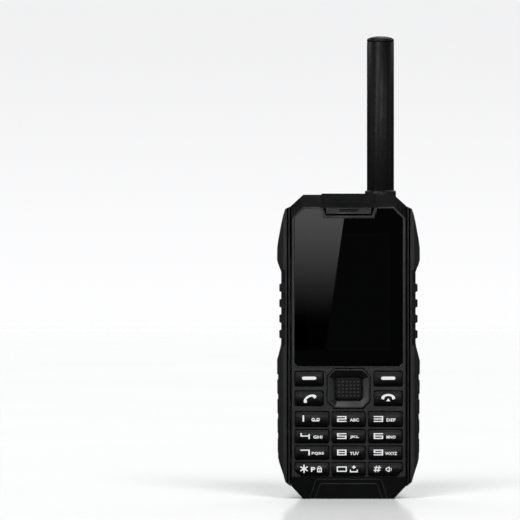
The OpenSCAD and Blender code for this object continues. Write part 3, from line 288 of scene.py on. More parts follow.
def acoustic_mesh():
    """Fine black wire cloth."""
    paint = Paint("mesh", (0.02, 0.02, 0.02), 0.45, Metallic=0.6)
    waves = []
    for direction in ("X", "Z"):
        wave = paint.add("ShaderNodeTexWave", wave_type="BANDS", bands_direction=direction)
        wave.inputs["Scale"].default_value = 1200
        paint.join(paint.place, wave.inputs["Vector"])
        waves.append(wave.outputs["Fac"])
    weave = paint.math("MAXIMUM", *waves)
    paint.color(paint.mix(weave, (0.001, 0.001, 0.001), (0.05, 0.05, 0.05)))
    paint.roughness(paint.remap(weave, 0, 1, 0.7, 0.4))
    paint.bump([(weave, 0.05 * MM)])
    return paint.material


MATERIALS = {
    "shell": moulded("shell", (0.007, 0.007, 0.0073), 0.36, 3200, 0.006 * MM),
    "cover": moulded("cover", (0.008, 0.008, 0.0083), 0.4, 3200, 0.010 * MM),
    "bumper_rubber": moulded("bumper_rubber", (0.008, 0.008, 0.0083), 0.44, 2400, 0.008 * MM, edge_polish_and_sheen=0.25),
    "flap_rubber": moulded("flap_rubber", (0.008, 0.008, 0.0083), 0.55, 2400, 0.012 * MM, edge_polish_and_sheen=0.2),
    "trim": moulded("trim", (0.008, 0.008, 0.0083), 0.34, 3600, 0.006 * MM),
    "collar": moulded("collar", (0.005, 0.005, 0.0052), 0.4, 3400, 0.008 * MM),
    "antenna_plastic": moulded("antenna_plastic", (0.005, 0.005, 0.0052), 0.4, 3400, 0.008 * MM, IOR=1.42),
    "key_plastic": moulded("key_plastic", (0.003, 0.003, 0.0032), 0.32, 4200, 0.004 * MM, edge_polish_and_sheen=0.2, IOR=1.3),
    "nav_face": moulded("nav_face", (0.003, 0.003, 0.0032), 0.4, 4200, 0.004 * MM, edge_polish_and_sheen=0.2, IOR=1.3),
    "nav_plastic": moulded("nav_plastic", (0.006, 0.006, 0.0062), 0.32, 4200, 0.004 * MM),
    # Dots much lighter than the centre key: a painted highlight for how they catch the light.
    "painted_lit_grip_dots": moulded("painted_lit_grip_dots", (0.1, 0.1, 0.102), 0.4, 4200, 0.004 * MM, edge_polish_and_sheen=0.2),
    # Much lighter than the housing: a painted highlight for the raised lines.
    "painted_highlight_line": moulded("painted_highlight_line", (0.05, 0.05, 0.0505), 0.3, 3600, 0.003 * MM, edge_polish_and_sheen=0.2),
    # Near black and barely reflecting: a sheet of painted shade for the earpiece's groove.
    "painted_shade_sheet": moulded("painted_shade_sheet", (0.0012, 0.0012, 0.0012), 0.6, 3600, 0.003 * MM, edge_polish_and_sheen=0.0,
                           IOR=1.12),
    "lens_glass": glass_black(),
    "display": moulded("display", (0.01, 0.01, 0.012), 0.15, 900, 0.001 * MM, edge_polish_and_sheen=0.0),
    "mesh": acoustic_mesh(),
    "steel": metal("steel", (0.56, 0.56, 0.57), 0.28, (1, 1, 0.08)),
    "component_black": moulded("component_black", (0.02, 0.02, 0.021), 0.5, 2600, 0.01 * MM),
    "silicone": moulded("silicone", (0.32, 0.32, 0.33), 0.45, 1800, 0.006 * MM, Subsurface_Weight=0.1),
    "gasket": moulded("gasket", (0.55, 0.1, 0.025), 0.45, 1800, 0.006 * MM),
    "brass_parts": metal("brass_parts", (0.8, 0.58, 0.26), 0.22, (1, 0.1, 1)),
    "board": board_green(),
    "patch_ceramic": moulded("patch_ceramic", (0.55, 0.46, 0.34), 0.55, 1500, 0.02 * MM, edge_polish_and_sheen=0.1),
    "battery": battery_wrap(),
    "former": moulded("former", (0.7, 0.67, 0.58), 0.5, 1800, 0.008 * MM),
}
GLOWING_INK = printed_white()


# ---------------------------------------------------------------- CAD nodes that stay

def finish_node(node):
    """Gives a CAD node its material, joins its split corners and rounds its edges."""
    name = node.data.materials[0].name
    for slot in node.material_slots:
        slot.link = "OBJECT"
        slot.material = MATERIALS[name.split(".")[0]]
    weld = node.modifiers.new("weld", "WELD")
    weld.merge_threshold = 0.002 * MM
    bevel = node.modifiers.new("edge", "BEVEL")
    bevel.width = EDGE_RADIUS.get(name, 0.1 * MM)
    bevel.segments = 2
    bevel.limit_method = "ANGLE"
    bevel.angle_limit = math.radians(32)
    bevel.use_clamp_overlap = True
    bevel.harden_normals = True


EDGE_RADIUS = {
    "bumper_rubber": 0.3 * MM,
    "shell": 0.14 * MM,
    "cover": 0.2 * MM,
    "trim": 0.1 * MM,
    "lens_glass": 0.12 * MM,
    "flap_rubber": 0.15 * MM,
}
for cad_node in nodes.values():
    finish_node(cad_node)


# ---------------------------------------------------------------- meshes from rings

def rounded(corners, inset, radius, steps=4):
    """A convex outline, given anticlockwise, drawn in by inset, with equally many points at each corner."""
    count = len(corners)
    moved = []
    for i in range(count):
        before, here, after = (Vector(corners[(i + k) % count]) for k in (-1, 0, 1))
        normals = []
        for edge in (here - before, after - here):
            edge.normalize()
            normals.append(Vector((-edge.y, edge.x)))
        moved.append(here + (normals[0] + normals[1]) / (1 + normals[0].dot(normals[1])) * inset)
    points = []
    for i in range(count):
        before, here, after = (moved[(i + k) % count] for k in (-1, 0, 1))
        into, out = here - before, after - here
        turn = into.angle(out)
        reach = min(radius * math.tan(turn / 2), 0.45 * into.length, 0.45 * out.length)
        r = reach / math.tan(turn / 2)
        into.normalize()
        inward = Vector((-into.y, into.x))
        hub = here - into * reach + inward * r
        for s in range(steps + 1):
            points.append(hub + Matrix.Rotation(turn * s / steps, 2) @ (-inward * r))
    return points


def box_corners(x, z, width, height):
    """Corners of a rectangle about (x, z), anticlockwise as seen from the front."""
    w, h = width / 2, height / 2
    return [(x - w, z - h), (x + w, z - h), (x + w, z + h), (x - w, z + h)]


def clipped_corners(x, z, width, height, clip):
    """Corners of a rectangle whose four corners are cut off."""
    w, h = width / 2, height / 2
    return [(x - w + clip, z - h), (x + w - clip, z - h), (x + w, z - h + clip), (x + w, z + h - clip),
            (x + w - clip, z + h), (x - w + clip, z + h), (x - w, z + h - clip), (x - w, z - h + clip)]


def new_piece(name, mesh_data, material, body):
    """A finished piece that rides on a body."""
    piece = bpy.data.objects.new(name, mesh_data)
    bpy.context.scene.collection.objects.link(piece)
    mesh_data.materials.append(material)
    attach(piece, body)
    return piece


def to_mesh(name, bm, smooth_angle=40):
    """Turns a bmesh into a mesh with outward faces, smooth but for its sharp edges."""
    bmesh.ops.recalc_face_normals(bm, faces=bm.faces)
    mesh = bpy.data.meshes.new(name)
    bm.to_mesh(mesh)
    bm.free()
    for polygon in mesh.polygons:
        polygon.use_smooth = True
    mesh.set_sharp_from_angle(angle=math.radians(smooth_angle))
    return mesh


def loft(bm, rings, closed=True):
    """Joins rings of points with quads and caps the first and the last ring."""
    made = [[bm.verts.new(p) for p in ring] for ring in rings]
    for low, high in zip(made, made[1:]):
        for i in range(len(low)):
            j = (i + 1) % len(low)
            bm.faces.new((low[i], low[j], high[j], high[i]))
    if closed:
        bm.faces.new(made[0])
        bm.faces.new(made[-1])
    return made


# ---------------------------------------------------------------- keys

KEY_BEVEL = 0.5 * MM
KEY_CROWN = 0.5 * MM
KEY_CORNER = 1.0 * MM
KEY_CLIP = 2.7 * MM
LEGEND_LIFT = 0.03 * MM
LEGEND_SUNK = 0.01 * MM
LEGEND_STRIP = 0.35 * MM
KEY_DEPTH = 1.8 * MM
KEY_STEM_R = 1.4 * MM
STEM_SIDES = 20
BEVEL_ANGLES = (0, 22, 45, 68, 90)
CROWN_INSETS = (0.3, 0.45, 0.6, 0.75, 0.88, 0.96)


class KeyFace:
    """The crowned face of one key: where its surface lies at any point."""

    def __init__(self, node):
        low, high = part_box(node)
        self.middle = (low + high) / 2
        self.size = high - low
        self.front = low.y
        half = self.size.z / 2
        self.radius = (half * half + KEY_CROWN * KEY_CROWN) / (2 * KEY_CROWN)

    def y(self, z):
        away = z - self.middle.z
        return self.front + self.radius - math.sqrt(self.radius ** 2 - away ** 2)


def key_corners(node, face):
    """Outline of a key; the star and hash keys have one cut corner."""
    corners = box_corners(face.middle.x, face.middle.z, face.size.x, face.size.z)
    if node == "key_star":
        x, z = corners[0]
        corners[0:1] = [(x, z + KEY_CLIP), (x + KEY_CLIP, z)]
    if node == "key_hash":
        x, z = corners[1]
        corners[1:2] = [(x - KEY_CLIP, z), (x, z + KEY_CLIP)]
    return corners


def key_piece(node):
    """A key cap with rounded edges, a crowned face and its stem."""
    face = KeyFace(node)
    corners = key_corners(node, face)
    base_y = FACE_Y + KEY_DEPTH
    rings = [[Vector((p.x, base_y, p.y)) for p in rounded(corners, 0, KEY_CORNER)]]
    insets = [KEY_BEVEL * (1 - math.cos(math.radians(a))) for a in BEVEL_ANGLES]
    insets += [k * face.size.z / 2 for k in CROWN_INSETS]
    for inset in insets:
        drop = 0.0
        if inset < KEY_BEVEL:
            drop = KEY_BEVEL - math.sqrt(KEY_BEVEL ** 2 - (KEY_BEVEL - inset) ** 2)
        corner = max(KEY_CORNER - 0.5 * inset, 0.1 * MM)
        ring = rounded(corners, inset, corner)
        rings.append([Vector((p.x, face.y(p.y) + drop, p.y)) for p in ring])
    bm = bmesh.new()
    loft(bm, rings)
    add_stem(bm, face.middle.x, face.middle.z, KEY_STEM_R, base_y, span(node, 1)[1])
    mesh = to_mesh(node + "_cap", bm)
    piece = new_piece(node + "_cap", mesh, MATERIALS["key_plastic"], node)
    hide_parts(node)


def add_stem(bm, x, z, radius, y0, y1):
    """A closed round stem along Y with a rounded tip."""
    rings = []
    profile = ((y0, radius), (y1 - 0.2 * MM, radius), (y1 - 0.06 * MM, radius - 0.06 * MM),
               (y1, radius - 0.25 * MM))
    for y, r in profile:
        rings.append([Vector((x + r * math.cos(t), y, z + r * math.sin(t)))
                      for t in (math.tau * i / STEM_SIDES for i in range(STEM_SIDES))])
    loft(bm, rings)


KEY_NODES = [name for name in nodes if name.startswith("key_") and name != "key_domes"]
for key_name in sorted(KEY_NODES):
    key_piece(key_name)


# ---------------------------------------------------------------- legends

BAND_STEPS = 18
LETTER_BOLD = 0.03
LETTER_SPACING = 1.06
LETTER_CURVE_STEPS = 3
DIGIT_ROWS = {
    "2": ("###", "..#", "###", "#..", "###"),
    "3": ("###", "..#", "###", "..#", "###"),
    "4": ("#..", "#.#", "###", "..#", "..#"),
    "5": ("###", "#..", "###", "..#", "###"),
    "6": ("###", "#..", "###", "#.#", "###"),
    "7": ("###", "..#", "..#", "..#", "..#"),
    "8": ("###", "#.#", "###", "#.#", "###"),
    "9": ("###", "#.#", "###", "..#", "###"),
    "0": ("###", "#.#", "#.#", "#.#", "###"),
    "#": (".#.#.", "#####", ".#.#.", "#####", ".#.#."),
}


def cells(rows, widths, heights):
    """Rectangles of a glyph drawn on an uneven grid, about its middle, with shared corners."""
    xs = [sum(widths[:i]) - sum(widths) / 2 for i in range(len(widths) + 1)]
    zs = [sum(heights) / 2 - sum(heights[:i]) for i in range(len(heights) + 1)]
    found = []
    for r, row in enumerate(rows):
        for c, mark in enumerate(row):
            if mark == "#":
                found.append([(xs[c], zs[r + 1]), (xs[c + 1], zs[r + 1]), (xs[c + 1], zs[r]), (xs[c], zs[r])])
    return found


def arc(x, z, radius, start, end, steps):
    """Points of an arc about (x, z), with its angles in degrees."""
    angles = [math.radians(start + (end - start) * i / steps) for i in range(steps + 1)]
    return [(x + radius * math.cos(a), z + radius * math.sin(a)) for a in angles]


def stroke(path, width):
    """Outline of a line of constant width along a path."""
    left, right = [], []
    for i, here in enumerate(path):
        before, after = path[max(i - 1, 0)], path[min(i + 1, len(path) - 1)]
        along = (Vector(after) - Vector(before)).normalized()
        side = Vector((-along.y, along.x)) * width / 2
        left.append(tuple(Vector(here) + side))
        right.append(tuple(Vector(here) - side))
    return left + right[::-1]


def handset():
    """A receiver: a bow with two thick ends, 6.2 mm wide."""
    bow = arc(0, -3.1, 4.25, 133, 47, 12)
    inner = arc(0, -3.1, 3.35, 62, 118, 8)
    ear = [(3.15, -0.95), (1.95, -1.4), (1.6, -0.5)]
    mouth = [(-x, z) for x, z in reversed(ear)]
    return bow + ear + inner + mouth


def turned(outline, angle, x=0.0, z=0.0):
    """An outline turned by an angle in degrees and moved."""
    spin = Matrix.Rotation(math.radians(angle), 2)
    return [tuple(spin @ Vector(p) + Vector((x, z))) for p in outline]


def star():
    """Six spokes about a middle."""
    points = []
    for i in range(6):
        for turn, radius in ((-8.5, 1.87), (8.5, 1.87), (30, 0.55)):
            a = math.radians(90 + 60 * i + turn)
            points.append((radius * math.cos(a), radius * math.sin(a)))
    return points


def ring_band(x, z, radius, width):
    """Quads round a circle."""
    outer, inner = (arc(x, z, r, 0, 360, BAND_STEPS) for r in (radius, radius - width))
    return [[outer[i], outer[i + 1], inner[i + 1], inner[i]] for i in range(BAND_STEPS)]


def bar(x0, z0, x1, z1):
    return [(x0, z0), (x1, z0), (x1, z1), (x0, z1)]


def legend_piece(name, key, shapes, x, z):
    """Flat shapes in millimetres, printed on a key's face about (x, z) from its middle."""
    face = KeyFace(key)
    bm = bmesh.new()
    for shape in shapes:
        outline = [Vector((p[0] * MM, 0, p[1] * MM)) for p in turned(shape, 0.0, x, z)]
        verts = [bm.verts.new(p + Vector((face.middle.x, 0, face.middle.z))) for p in outline]
        if len(verts) == 4:
            bm.faces.new(verts)
            continue
        for triangle in geometry.tessellate_polygon([outline]):
            bm.faces.new([verts[i] for i in triangle])
    print_on(bm, face)
    new_piece(name, to_mesh(name, bm), GLOWING_INK, key)


def print_on(bm, face):
    """Lays a flat bmesh on a key's crowned face, cut into strips that follow it, and gives it a thickness."""
    bmesh.ops.remove_doubles(bm, verts=bm.verts, dist=0.001 * MM)
    z_values = [v.co.z for v in bm.verts]
    level = min(z_values)
    while level < max(z_values):
        level += LEGEND_STRIP
        parts = bm.verts[:] + bm.edges[:] + bm.faces[:]
        bmesh.ops.bisect_plane(bm, geom=parts, plane_co=(0, 0, level), plane_no=(0, 0, 1), dist=0.0001 * MM)
    grown = bmesh.ops.extrude_face_region(bm, geom=bm.faces[:])
    back = {v for v in grown["geom"] if isinstance(v, bmesh.types.BMVert)}
    for vert in bm.verts:
        sunk = LEGEND_SUNK if vert in back else -LEGEND_LIFT
        vert.co.y = face.y(vert.co.z) + sunk


def letters_piece(name, key, text, x, z, width, height):
    """Letters of the built-in plain font, made bold and wide, printed on a key."""
    data = bpy.data.curves.new(name, "FONT")
    data.body = text
    data.offset = LETTER_BOLD
    data.space_character = LETTER_SPACING
    data.resolution_u = LETTER_CURVE_STEPS
    holder = bpy.data.objects.new(name + "_text", data)
    bpy.context.scene.collection.objects.link(holder)
    mesh = bpy.data.meshes.new_from_object(holder.evaluated_get(bpy.context.evaluated_depsgraph_get()))
    bpy.data.objects.remove(holder)
    bm = bmesh.new()
    bm.from_mesh(mesh)
    xs = [v.co.x for v in bm.verts]
    ys = [v.co.y for v in bm.verts]
    face = KeyFace(key)
    for vert in bm.verts:
        u = (vert.co.x - min(xs)) / (max(xs) - min(xs)) - 0.5
        v = (vert.co.y - min(ys)) / (max(ys) - min(ys)) - 0.5
        vert.co = Vector((face.middle.x + (x + u * width) * MM, 0, face.middle.z + (z + v * height) * MM))
    print_on(bm, face)
    new_piece(name, to_mesh(name, bm), GLOWING_INK, key)


DIGIT_W = 4.2
DIGIT_X = -3.1
DIGIT_STROKE = 0.62
DIGIT_ROW_HEIGHTS = [0.46, 0.6, 0.46, 0.6, 0.46]
LETTERS_X = 2.55
LETTERS_Z = -0.35
LETTER_W = 1.36
LETTER_H = 1.4
LEFT_SYMBOL_X = -3.6
CALL_TURN = 27
HASH_LEAN = 0.2
SYMBOL_STROKE = 0.36
LETTERS = {"2": "ABC", "3": "DEF", "4": "GHI", "5": "JKL", "6": "MNO", "7": "PQRS", "8": "TUV", "9": "WXYZ"}


def number_legends():
    """Digits and the letter groups beside them, in millimetres about each key's middle."""
    widths = [DIGIT_STROKE, DIGIT_W - 2 * DIGIT_STROKE, DIGIT_STROKE]
    for digit in "23456789":
        shapes = cells(DIGIT_ROWS[digit], widths, DIGIT_ROW_HEIGHTS)
        legend_piece("legend_" + digit, "key_" + digit, shapes, DIGIT_X, 0.1)
        text = LETTERS[digit]
        width = LETTER_W * len(text)
        letters_piece("letters_" + digit, "key_" + digit, text, LETTERS_X, LETTERS_Z, width, LETTER_H)
    legend_piece("legend_1", "key_1", [bar(-0.36, -1.4, 0.36, 1.4)], -3.9, 0.3)
    reels = ring_band(-1.1, 0, 0.78, 0.4) + ring_band(1.1, 0, 0.78, 0.4) + [bar(-1.1, -0.78, 1.1, -0.4)]
    legend_piece("letters_1", "key_1", reels, 1.6, -0.2)
    legend_piece("legend_0", "key_0", cells(DIGIT_ROWS["0"], [0.52, 3.46, 0.52], [0.48] * 5), DIGIT_X, 0)
    plus = [bar(-0.26, -0.75, 0.26, 0.75), bar(-0.85, -0.25, -0.26, 0.25), bar(0.26, -0.25, 0.85, 0.25)]
    plus = [[(p[0], p[1] + 0.8) for p in shape] for shape in plus]
    tray = [bar(-1.75, -1.55, 1.75, -1.05), bar(-1.75, -1.05, -1.25, -0.3), bar(1.25, -1.05, 1.75, -0.3)]
    legend_piece("letters_0", "key_0", plus + tray, 2.3, 0.1)


def symbol_legends():
    """Menu bars, handsets, star, hash and their small symbols, in millimetres about each key's middle."""
    pill = arc(2.5, 0, 0.7, -90, 90, 8) + arc(-2.5, 0, 0.7, 90, 270, 8)
    for side in ("left", "right"):
        legend_piece("legend_soft_" + side, "key_soft_" + side, [pill], 0, 0.2)
    legend_piece("legend_call", "key_call", [turned(handset(), CALL_TURN)], 0.1, 0.2)
    hook = [(0, -0.85), (-0.95, -2.1), (0.95, -2.1)]
    legend_piece("legend_end", "key_end", [handset(), hook], 0, 0.8)
    legend_piece("legend_star", "key_star", [star()], LEFT_SYMBOL_X, 0.15)
    letters_piece("letters_star", "key_star", "P", 0.45, -0.15, 1.9, 2.1)
    lock = [bar(-1.05, -1.5, -0.62, 0.3), bar(0.62, -1.5, 1.05, 0.3), bar(-0.62, -1.5, 0.62, -1.1),
            bar(-0.62, -0.1, 0.62, 0.3), bar(-0.2, -0.8, 0.2, -0.4),
            stroke(arc(0, 0.3, 0.72, 0, 180, 8), SYMBOL_STROKE)]
    legend_piece("letters_lock", "key_star", lock, 3.3, 0.1)
    hash_cells = cells(DIGIT_ROWS["#"], [0.65, 0.46, 0.84, 0.46, 0.65], [0.6, 0.42, 0.76, 0.42, 0.6])
    leaning = [[(p[0] + HASH_LEAN * p[1], p[1]) for p in shape] for shape in hash_cells]
    legend_piece("legend_hash", "key_hash", leaning, LEFT_SYMBOL_X, 0.1)
    horn = [bar(-1.35, -0.5, -0.95, 0.5), stroke([(-0.95, 0.42), (0.25, 1.05)], SYMBOL_STROKE),
            stroke([(-0.95, -0.42), (0.25, -1.05)], SYMBOL_STROKE), bar(0.05, -1.2, 0.42, 1.2)]
    sound = stroke(arc(0.15, 0, 1.0, -42, 42, 6), 0.3)
    legend_piece("letters_hash", "key_hash", horn + [sound], 1.5, -0.1)


number_legends()
symbol_legends()


# ---------------------------------------------------------------- navigation keys

RING_CLIP = 3.3 * MM
RING_HOLE_GAP = 0.5 * MM
RING_HOLE_CLIP = 1.1 * MM
RING_DISH = 0.95 * MM
RING_CORNER = 0.3 * MM
RING_STEM_R = 1.3 * MM
RING_STEM_IN_X = 2.15 * MM
RING_STEM_IN_Z = 2.05 * MM
CENTRE_SUNK = 0.2 * MM
CENTRE_DEPTH = 1.5 * MM
CENTRE_BEVEL = 0.45 * MM
CENTRE_CORNER = 0.9 * MM
CENTRE_STEM_R = 1.2 * MM
PAN_INSET = 0.95 * MM
PAN_SLOPE = 0.1 * MM
PAN_DEPTH = 0.12 * MM
PAN_CORNER = 0.6 * MM
DOT_COLUMNS, DOT_ROWS = 6, 5
DOT_PITCH_X, DOT_PITCH_Z = 1.73 * MM, 1.57 * MM
DOT_PROFILE = ((0.4, 0.14), (0.37, -0.1), (0.32, -0.17), (0.2, -0.2))


def nav_ring_piece():
    """The dished eight-sided rocker round the centre key."""
    low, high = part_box("nav_ring")
    mid, size = (low + high) / 2, high - low
    outer = clipped_corners(mid.x, mid.z, size.x, size.z, RING_CLIP)
    hole_low, hole_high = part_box("nav_select")
    hole = hole_high - hole_low
    hole_w, hole_h = hole.x + RING_HOLE_GAP, hole.z + RING_HOLE_GAP
    inner = clipped_corners(mid.x, mid.z, hole_w, hole_h, RING_HOLE_CLIP)
    base_y = FACE_Y + KEY_DEPTH
    front = FRONT_Y
    floor_y = front + RING_DISH

    def outline(corners, inset, y):
        return [Vector((p.x, y, p.y)) for p in rounded(corners, inset, RING_CORNER, 3)]

    rings = [
        outline(outer, 0, base_y), outline(outer, 0, front + 0.45 * MM),
        outline(outer, 0.08 * MM, front + 0.2 * MM), outline(outer, 0.3 * MM, front + 0.04 * MM),
        outline(outer, 0.5 * MM, front),
        outline(outer, 0.8 * MM, front), outline(outer, 0.95 * MM, front + 0.05 * MM),
        outline(inner, -0.35 * MM, floor_y - 0.12 * MM), outline(inner, -0.15 * MM, floor_y),
        outline(inner, 0, floor_y + 0.15 * MM), outline(inner, 0, base_y),
    ]
    bm = bmesh.new()
    loft(bm, rings + rings[:1], closed=False)
    bmesh.ops.remove_doubles(bm, verts=bm.verts, dist=0.0005 * MM)
    reach_x, reach_z = size.x / 2 - RING_STEM_IN_X, size.z / 2 - RING_STEM_IN_Z
    for dx, dz in ((-reach_x, 0), (reach_x, 0), (0, -reach_z), (0, reach_z)):
        add_stem(bm, mid.x + dx, mid.z + dz, RING_STEM_R, base_y, high.y)
    mesh = to_mesh("nav_rocker", bm, 18)
    piece = new_piece("nav_rocker", mesh, MATERIALS["nav_plastic"], "nav_ring")
    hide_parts("nav_ring")


def nav_select_piece():
    """The centre key with its field of raised dots."""
    low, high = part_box("nav_select")
    mid, size = (low + high) / 2, high - low
    face_y = low.y + CENTRE_SUNK
    base_y = FACE_Y + CENTRE_DEPTH
    corners = box_corners(mid.x, mid.z, size.x, size.z)

    def outline(inset, y, corner=CENTRE_CORNER):
        return [Vector((p.x, y, p.y)) for p in rounded(corners, inset, corner)]

    rings = [outline(0, base_y)]
    for a in BEVEL_ANGLES:
        inset = CENTRE_BEVEL * (1 - math.cos(math.radians(a)))
        drop = CENTRE_BEVEL * (1 - math.sin(math.radians(a)))
        rings.append(outline(inset, face_y + drop))
    rings.append(outline(PAN_INSET, face_y, PAN_CORNER))
    rings.append(outline(PAN_INSET + PAN_SLOPE, face_y + PAN_DEPTH, PAN_CORNER))
    bm = bmesh.new()
    loft(bm, rings)
    add_stem(bm, mid.x, mid.z, CENTRE_STEM_R, base_y, high.y)
    mesh = to_mesh("nav_centre", bm)
    piece = new_piece("nav_centre", mesh, MATERIALS["nav_face"], "nav_select")
    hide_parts("nav_select")
    nav_dots(mid, face_y)


def nav_dots(mid, face_y):
    """Raised square dots with soft edges on the centre key, coloured lighter than the key as a painted
    highlight.
    """
    bm = bmesh.new()
    for i in range(DOT_COLUMNS):
        for j in range(DOT_ROWS):
            x = mid.x + (i - (DOT_COLUMNS - 1) / 2) * DOT_PITCH_X
            z = mid.z + (j - (DOT_ROWS - 1) / 2) * DOT_PITCH_Z
            dot = []
            for half, y in DOT_PROFILE:
                shape = box_corners(x, z, 2 * half * MM, 1.8 * half * MM)
                ring = rounded(shape, 0, 0.4 * half * MM, 2)
                dot.append([Vector((p.x, face_y + y * MM, p.y)) for p in ring])
            loft(bm, dot)
    new_piece("nav_dots", to_mesh("nav_dots", bm), MATERIALS["painted_lit_grip_dots"], "nav_select")


nav_ring_piece()
nav_select_piece()


# ---------------------------------------------------------------- raised lines with a painted highlight, and painted shade in the earpiece's groove

LENS_LOW_CLIP = 1.7 * MM
LENS_TOP_CLIP = 4.3 * MM
BEAD_GAP = 0.2 * MM
BEAD_W = 0.42 * MM
BEAD_H = 0.2 * MM
CHIN_TOP = 10.1 * MM
CHIN_BACK = 3.2 * MM
CHIN_START = 0.35 * MM
CHIN_LINE_W = 0.4 * MM
CHIN_LINE_H = 0.14 * MM
CHIN_LINES = (("chin_line_outer", 17.6 * MM, 14.75 * MM, 9.1 * MM, 1.0 * MM),
              ("chin_line_inner", 15.35 * MM, 12.8 * MM, 7.05 * MM, 0.8 * MM))
EAR_LOW_HALF = 11.2 * MM
EAR_BAND = 0.9 * MM
EAR_GROOVE = 1.15 * MM
EAR_FRAME_H = 2.1 * MM
EAR_FRAME_HALF = 9.6 * MM
EAR_FRAME_GAP = 0.04 * MM
EAR_FRAME_W = 0.36 * MM
EAR_FRAME_RISE = 0.12 * MM
EAR_FIT = 0.03 * MM
SHADE_SHEET_FRONT = 0.3 * MM
SHADE_SHEET_BACK = 0.8 * MM
BEAD_PROFILE = ((0, -0.25), (0, 0.7), (0.25, 1), (0.7, 1), (1, 0.4), (1, -0.25))


def bead(name, path, width, height, surface, body):
    """A thin raised line along a path of (x, z) points, on a surface that is given as y for each z, coloured
    lighter than the housing as a painted highlight.
    """
    rings = []
    for i, here in enumerate(path):
        into = (here - path[i - 1]).normalized() if i else (path[1] - here).normalized()
        out = (path[i + 1] - here).normalized() if i + 1 < len(path) else into
        sides = [Vector((d.y, -d.x)) for d in (into, out)]
        side = (sides[0] + sides[1]) / (1 + sides[0].dot(sides[1]))
        ring = []
        for across, rise in BEAD_PROFILE:
            at = here - side * across * width
            ring.append(Vector((at.x, surface(at.y) - rise * height, at.y)))
        rings.append(ring)
    bm = bmesh.new()
    loft(bm, rings)
    new_piece(name, to_mesh(name, bm, 25), MATERIALS["painted_highlight_line"], body)


def mirrored(half):
    """A path of points from right to left whose right half is given."""
    return [Vector(p) for p in half] + [Vector((-x, z)) for x, z in reversed(half)]


def lens_bead():
    """Follows the lens from one side of the earpiece to the other."""
    low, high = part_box("display_lens")
    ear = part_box("earpiece_trim")[1].x + BEAD_W
    right, top, bottom = high.x + BEAD_GAP, high.z + BEAD_GAP, low.z - BEAD_GAP
    path = mirrored([(ear, top), (right - LENS_TOP_CLIP, top), (right, top - LENS_TOP_CLIP),
                     (right, bottom + LENS_LOW_CLIP), (right - LENS_LOW_CLIP, bottom)])
    bead("lens_bead", path, BEAD_W, BEAD_H, lambda z: FACE_Y, "phone")


def chin_y(z):
    """The slope under the keypad."""
    return FACE_Y + CHIN_BACK * (1 - z / CHIN_TOP)


def chin_beads():
    """Two lines round the trapezoid plate, one on the housing and one on the plate."""
    for name, low_half, top_half, top, round_off in CHIN_LINES:
        lean = (low_half - top_half) / top
        half = [(low_half - lean * CHIN_START, CHIN_START), (top_half + lean * round_off, top - round_off),
                (top_half - 0.3 * round_off, top - 0.3 * round_off), (top_half - round_off, top)]
        bead(name, mirrored(half), CHIN_LINE_W, CHIN_LINE_H, chin_y, "phone")


def ear_outline(inset):
    """Lower left, lower right, upper right and upper left corners of the earpiece, drawn in by inset."""
    low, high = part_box("earpiece_trim")
    low_half, high_half = EAR_LOW_HALF - inset, high.x - inset
    return [(-low_half, low.z + inset), (low_half, low.z + inset), (high_half, high.z), (-high_half, high.z)]


def earpiece():
    """A dark sheet in the earpiece's groove, painted shade standing in for the groove's shadow, and a raised
    line round three sides of its slot.
    """
    front = span("earpiece_trim", 1)[0]
    outer, inner = ear_outline(EAR_BAND + EAR_FIT), ear_outline(EAR_BAND + EAR_GROOVE - EAR_FIT)
    # A near-black, barely reflecting sheet laid in the groove: painted shade.
    bm = bmesh.new()
    rings = []
    for i in (3, 0, 1, 2):
        (x0, z0), (x1, z1) = outer[i], inner[i]
        front_y, back_y = front + SHADE_SHEET_FRONT, front + SHADE_SHEET_BACK
        rings.append([Vector((x0, front_y, z0)), Vector((x1, front_y, z1)),
                      Vector((x1, back_y, z1)), Vector((x0, back_y, z0))])
    loft(bm, rings)
    new_piece("ear_shade_sheet", to_mesh("ear_shade_sheet", bm), MATERIALS["painted_shade_sheet"], "phone")
    low_z = span("earpiece_trim", 2)[0] + EAR_BAND + EAR_GROOVE + EAR_FRAME_GAP
    path = mirrored([(EAR_FRAME_HALF, low_z + EAR_FRAME_H), (EAR_FRAME_HALF, low_z)])
    bead("ear_frame", path, EAR_FRAME_W, EAR_FRAME_RISE, lambda z: front, "phone")


lens_bead()
chin_beads()
earpiece()


# ---------------------------------------------------------------- stage, light and camera

FLOOR_RADIUS = 6.0
CAMERA_DISTANCE = 2.4
VIEW_WIDTH = 0.234
CAMERA_X = -0.0397
CAMERA_Z = 0.1071


def make_stage():
    """A plain pale floor with a trace of polish."""
    mesh = bpy.data.meshes.new("floor")
    bm = bmesh.new()
    bmesh.ops.create_circle(bm, cap_ends=True, radius=FLOOR_RADIUS, segments=64)
    bm.to_mesh(mesh)
    bm.free()
    floor = bpy.data.objects.new("floor", mesh)
    bpy.context.scene.collection.objects.link(floor)
    paint = Paint("floor", (0.9, 0.9, 0.905), 0.5)
    paint.shader.inputs["Specular IOR Level"].default_value = 0.0
    cloudy = paint.noise(3, 3)
    paint.color(paint.mix(paint.remap(cloudy, 0.3, 0.7), (0.9, 0.9, 0.905), (0.88, 0.88, 0.888)))
    polish = paint.add("ShaderNodeBsdfGlossy")
    polish.inputs["Roughness"].default_value = 0.1
    blend = paint.add("ShaderNodeMixShader")
    blend.inputs["Fac"].default_value = 0.38
    paint.join(paint.shader.outputs[0], blend.inputs[1])
    paint.join(polish.outputs[0], blend.inputs[2])
    paint.join(blend.outputs[0], paint.tree.nodes["Material Output"].inputs["Surface"])
    mesh.materials.append(paint.material)
    floor.visible_glossy = False
    floor.visible_diffuse = False
    return floor


